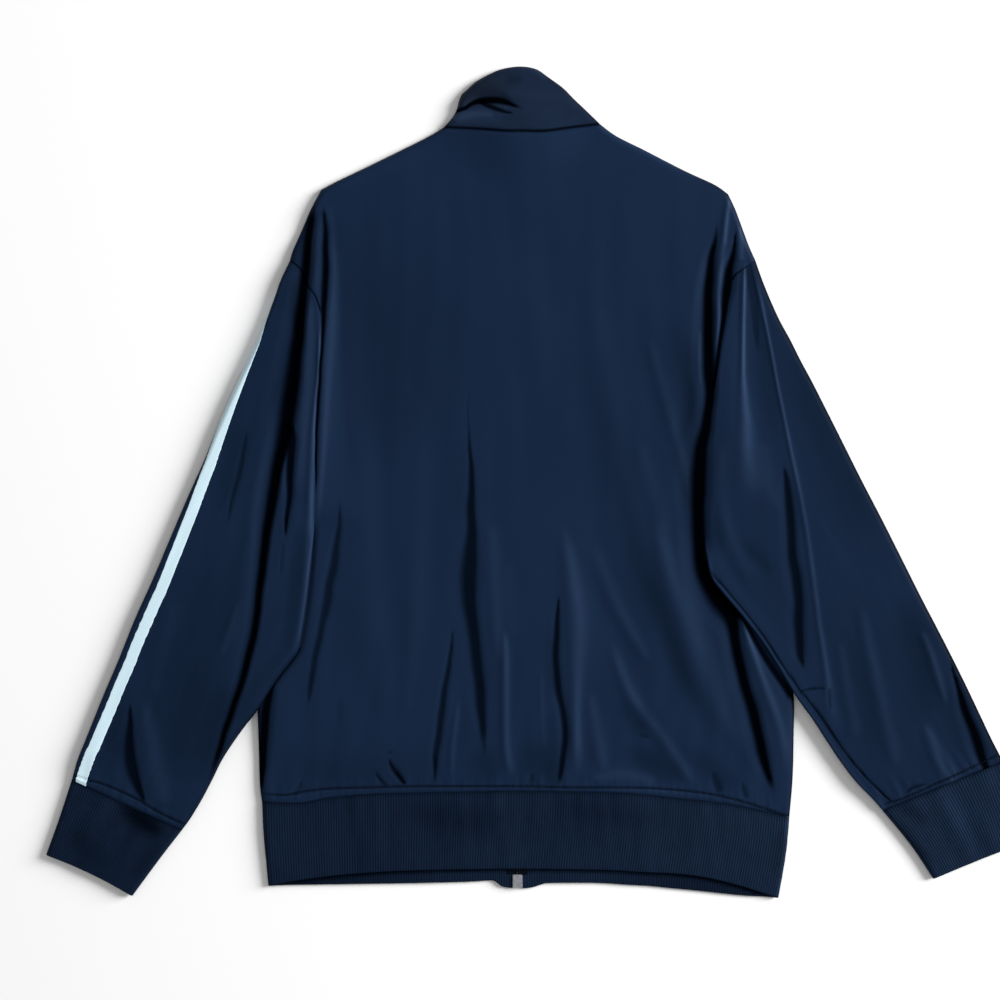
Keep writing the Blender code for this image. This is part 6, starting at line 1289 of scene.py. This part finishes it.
def tape_sheet(side):
    points, split, at = sleeve_data[side]
    table = LEFT_TAPE if side < 0 else RIGHT_TAPE
    rows = len(points)
    places = np.interp(at, np.arange((len(table) - 1) * 8 + 1) / 8, spline(np.array(table)[:, None], 8)[:, 0])
    made = []
    for j in range(rows):
        line = points[j, :-1]
        # the ring without repeated points
        s = np.concatenate([[0], np.cumsum(np.linalg.norm(np.diff(line, axis=0), axis=1))])
        s0 = s[split]
        widths = np.array([-0.5, -0.5, -0.47, -0.3, -0.1, 0.1, 0.3, 0.47, 0.5, 0.5]) * TAPE_WIDTH
        lifts = np.array([0.05, 0.9, 1, 1, 1, 1, 1, 1, 0.9, 0.05]) * TAPE_LIFT
        q = s0 + places[j] + widths
        here = np.stack([np.interp(q, s, line[:, k]) for k in range(3)], -1)
        ahead = np.stack([np.interp(q + 0.8, s, line[:, k]) for k in range(3)], -1)
        behind = np.stack([np.interp(q - 0.8, s, line[:, k]) for k in range(3)], -1)
        tangent = ahead - behind
        section = np.array([*(line[-1, :2] - line[split, :2]), 0.0])
        section /= np.linalg.norm(section)
        axis = np.cross(section, [0, 0, 1.0])
        outward = np.cross(tangent, axis[None])
        outward /= np.linalg.norm(outward, axis=1)[:, None]
        if outward[5, 2] * np.sign(places[j] + 1e-3 - 4) < 0 and abs(places[j]) > 6:
            outward = -outward
        made.append((here, outward, lifts))
    # one direction for the whole strip
    base = made[-1][1] if made[-1][1][5, 2] * (1 if side < 0 else -1) > 0 else -made[-1][1]
    strip, last = [], base
    for here, outward, lifts in made[::-1]:
        if (outward * last).sum() < 0:
            outward = -outward
        last = outward
        strip.append(here + outward * lifts[:, None])
    return np.stack(strip[::-1])


tapes = {}
for side, word in ((-1, "left"), (1, "right")):
    points = tape_sheet(side)[1:-1]
    light = np.ones(points.shape[:2])
    # painted shade along both edges, where the tape meets the cloth
    light[:, 0] = light[:, -1] = 0.35
    tapes[side] = sheet_mesh(f"sleeve_tape_{word}_weave", points, SLEEVE_TAPE, light=light)


# ----------------------------------------------------------------- stitching
def surface_tree(*grids):
    total = sum(g.shape[0] * g.shape[1] for g in grids)
    tree = kdtree.KDTree(total)
    k = 0
    for g in grids:
        for p in g.reshape(-1, 3):
            tree.insert((p[0], p[1], 0.0), k)
            k += 1
    tree.balance()
    return tree, np.concatenate([g.reshape(-1, 3) for g in grids])


def stitch_line(name, rows, tree, points, pitch=2.6, length=1.9, radius=0.26, lift=0.12):
    """Short stitches along a line of plan squares, each a small rounded bar that lies on the cloth."""
    path = Curve(plan(rows))
    count = int(path.length / pitch)
    verts, faces = [], []
    for k in range(count):
        ends = path.at(np.array([(k * pitch + 0.3) / path.length, (k * pitch + 0.3 + length) / path.length]))
        places = []
        for e in ends:
            _, index, _ = tree.find((e[0], e[1], 0.0))
            places.append(np.array([e[0], e[1], points[index, 2] + lift]))
        a, b = places
        way = b - a
        way /= np.linalg.norm(way)
        sidew = np.cross(way, [0, 0, 1.0])
        sidew /= np.linalg.norm(sidew)
        upw = np.cross(sidew, way)
        start = len(verts)
        for place, scale in ((a - way * 0.15, 0.45), (mix(a, b, 0.2), 1.0), (mix(a, b, 0.8), 1.0), (b + way * 0.15, 0.45)):
            for n in range(6):
                t = n * pi / 3
                verts.append(place + (sidew * cos(t) + upw * sin(t)) * radius * scale)
        for ring in range(3):
            for n in range(6):
                m = (n + 1) % 6
                faces.append((start + ring * 6 + n, start + ring * 6 + m, start + ring * 6 + 6 + m, start + ring * 6 + 6 + n))
        faces.append(tuple(start + n for n in range(5, -1, -1)))
        faces.append(tuple(start + 18 + n for n in range(6)))
    made = solid_mesh(name, verts, faces, THREAD)
    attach(made, "jacket")
    return made


HEM_STITCH = [(264, 793.7), (285, 795), (307, 791), (333, 788.5), (370, 787.5), (405, 786.5), (470, 786.3), (530, 786.5), (570, 787.5), (610, 787.5), (650, 788.2), (690, 791.3), (720, 796), (752, 804.5), (781, 814), (790, 817.3)]
LEFT_CUFF_STITCH = [(74, 774.7), (84, 779), (100, 783), (119, 790.5), (137, 799), (150, 807), (165, 815.5), (183, 823)]
RIGHT_CUFF_STITCH = [(880.5, 805.8), (886, 803.6), (900, 799.5), (920, 791), (933, 785), (950, 777.5), (968, 769), (985, 761), (1000, 754)]
tree, tree_points = surface_tree(back_points[:60, 3:-3])
stitches = [stitch_line("hem_stitches", HEM_STITCH, tree, tree_points)]
for side, word, rows in ((-1, "left", LEFT_CUFF_STITCH), (1, "right", RIGHT_CUFF_STITCH)):
    points, split, _ = sleeve_data[side]
    tree, tree_points = surface_tree(points[-48:, split + 3 : -3])
    stitches.append(stitch_line(f"cuff_{word}_stitches", rows, tree, tree_points))

# ----------------------------------------------------------------------- zip
ZIP_BOTTOM, ZIP_TOP = -365.2, 334.0


def zip_lift(x, y):
    return 4.0 * smooth(296, 320, y) * (1 - smooth(8, 44, np.abs(x - ZIP_X)))


zip_tapes = {}
for side, word in ((-1, "left"), (1, "right")):
    y = np.linspace(ZIP_BOTTOM, ZIP_TOP, 280)
    reach = np.array([0.2, 0.9, 1.6, 2.0, 2.4, 4.0, 6.0, 8.0, 10.0, 12.0, 13.4, 14.0])
    x = ZIP_X + side * reach
    xx, yy = np.meshgrid(x, y)
    turned = 1 - smooth(-361, -348, yy)
    xx = ZIP_X + (xx - ZIP_X) * (1 - 0.34 * turned)
    z = 2.8 + 0.5 * turned + zip_lift(xx, yy) + 0.45 * np.exp(-(((reach[None] - 1.7) / 0.7) ** 2)) + 0.08 * waves(xx, yy, 111, 0, 60, 12)
    # the light attribute paints shade towards the tape's lower end, under the waistband
    zip_tapes[side] = sheet_mesh(f"zip_tape_{word}_weave", np.dstack([xx, yy, z]), ZIP_TAPE, light=mix(0.22, 1.0, smooth(-358, -340, yy)))

TOOTH_PITCH = 2.4
tooth_verts, tooth_faces = [], []
outline = [(-0.95, 0), (-0.95, 0.55), (-0.6, 0.75), (0.6, 0.75), (0.95, 0.55), (0.95, 0), (0.95, -0.55), (0.6, -0.75), (-0.6, -0.75), (-0.95, -0.55)]
for k in range(int((ZIP_TOP - 10 - ZIP_BOTTOM - 4.5) / (TOOTH_PITCH / 2))):
    side = -1 if k % 2 else 1
    y0 = ZIP_BOTTOM + 6.5 + k * TOOTH_PITCH / 2
    x0 = ZIP_X + side * 0.55
    z0 = 2.8 + float(zip_lift(np.array(ZIP_X), np.array(y0)))
    start = len(tooth_verts)
    for layer, (h, scale) in enumerate(((-1.15, 0.72), (-0.85, 1.0), (0.85, 1.0), (1.15, 0.72))):
        for a, b in outline:
            tooth_verts.append((x0 + a * 1.25 * scale, y0 + b * 0.68 * scale, z0 + h))
    n = len(outline)
    for layer in range(3):
        for m in range(n):
            p = (m + 1) % n
            tooth_faces.append((start + layer * n + m, start + layer * n + p, start + (layer + 1) * n + p, start + (layer + 1) * n + m))
    tooth_faces.append(tuple(start + m for m in range(n - 1, -1, -1)))
    tooth_faces.append(tuple(start + 3 * n + m for m in range(n)))
teeth = solid_mesh("zip_teeth", tooth_verts, tooth_faces, METAL)
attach(teeth, "jacket")
for name in ("zip_box", "zip_slider", "zip_pull"):
    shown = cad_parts[name]
    for k in range(len(shown.material_slots)):
        shown.material_slots[k].material = METAL

# ------------------------------------------------------------------- declare
def area_of(points, half=False):
    """Plan area of a grid in square metres."""
    a = points[1:, :-1] - points[:-1, :-1]
    b = points[:-1, 1:] - points[:-1, :-1]
    c = points[1:, 1:] - points[1:, :-1]
    d = points[1:, 1:] - points[:-1, 1:]
    total = np.linalg.norm(np.cross(a, b), axis=-1).sum() / 2 + np.linalg.norm(np.cross(c, d), axis=-1).sum() / 2
    return total * 1e-6


declare(back, ["back"])
for side, word in ((-1, "left"), (1, "right")):
    declare(fronts[side], [f"front_{word}"])
    declare(sleeves[side], [f"sleeve_{word}"])
    declare(cuffs[side], [f"cuff_{word}"])
    declare(tapes[side], [f"sleeve_tape_{word}"])
    declare(zip_tapes[side], [f"zip_tape_{word}"])
    declare(collar_fronts[side], [])
declare(hem, ["hem_band"])
declare(collar, ["collar"])

# --------------------------------------------------------------------- stage
floor_mesh = bpy.data.meshes.new("floor")
floor_mesh.from_pydata([(-4, -4, 0), (4, -4, 0), (4, 4, 0), (-4, 4, 0)], [], [(0, 1, 2, 3)])
floor = bpy.data.objects.new("floor", floor_mesh)
bpy.context.scene.collection.objects.link(floor)
paper, nodes, links, shader = new_material("white_floor")
shader.inputs["Base Color"].default_value = (0.955, 0.955, 0.955, 1)
shader.inputs["Roughness"].default_value = 0.9
shader.inputs["Specular IOR Level"].default_value = 0.0
floor_mesh.materials.append(paper)

world = bpy.data.worlds.new("studio")
bpy.context.scene.world = world
world.use_nodes = True
world.node_tree.nodes["Background"].inputs["Color"].default_value = (1, 1, 1, 1)
world.node_tree.nodes["Background"].inputs["Strength"].default_value = 0.40

KEY_HEIGHT, KEY_SIDE, KEY_FAR = 22.0, 16.0, 6.0  # degrees above the floor, degrees from +X towards +Y, metres away
key_data = bpy.data.lights.new("key", "AREA")
key_data.shape = "DISK"
key_data.size = 2 * KEY_FAR * 0.27
key_data.energy = 6.65 * pi * KEY_FAR**2
key = bpy.data.objects.new("key", key_data)
bpy.context.scene.collection.objects.link(key)
towards = Vector((-cos(radians(KEY_HEIGHT)) * cos(radians(KEY_SIDE)), -cos(radians(KEY_HEIGHT)) * sin(radians(KEY_SIDE)), -sin(radians(KEY_HEIGHT))))
key.rotation_mode = "QUATERNION"
key.rotation_quaternion = towards.to_track_quat("-Z", "Y")
key.location = -towards * KEY_FAR

camera_data = bpy.data.cameras.new("camera")
camera_data.sensor_width = 36.0
DISTANCE = 2.6
camera_data.lens = 36.0 * DISTANCE / 0.93
camera_data.clip_end = 20.0
camera = bpy.data.objects.new("camera", camera_data)
camera.location = ((500 - PLAN_U) * SQUARE * MM, (PLAN_V - 500) * SQUARE * MM, DISTANCE + 0.006)
camera.rotation_euler = (0, 0, 0)
bpy.context.scene.collection.objects.link(camera)
bpy.context.scene.camera = camera
bpy.context.scene.view_settings.view_transform = "Standard"

bpy.context.view_layer.update()
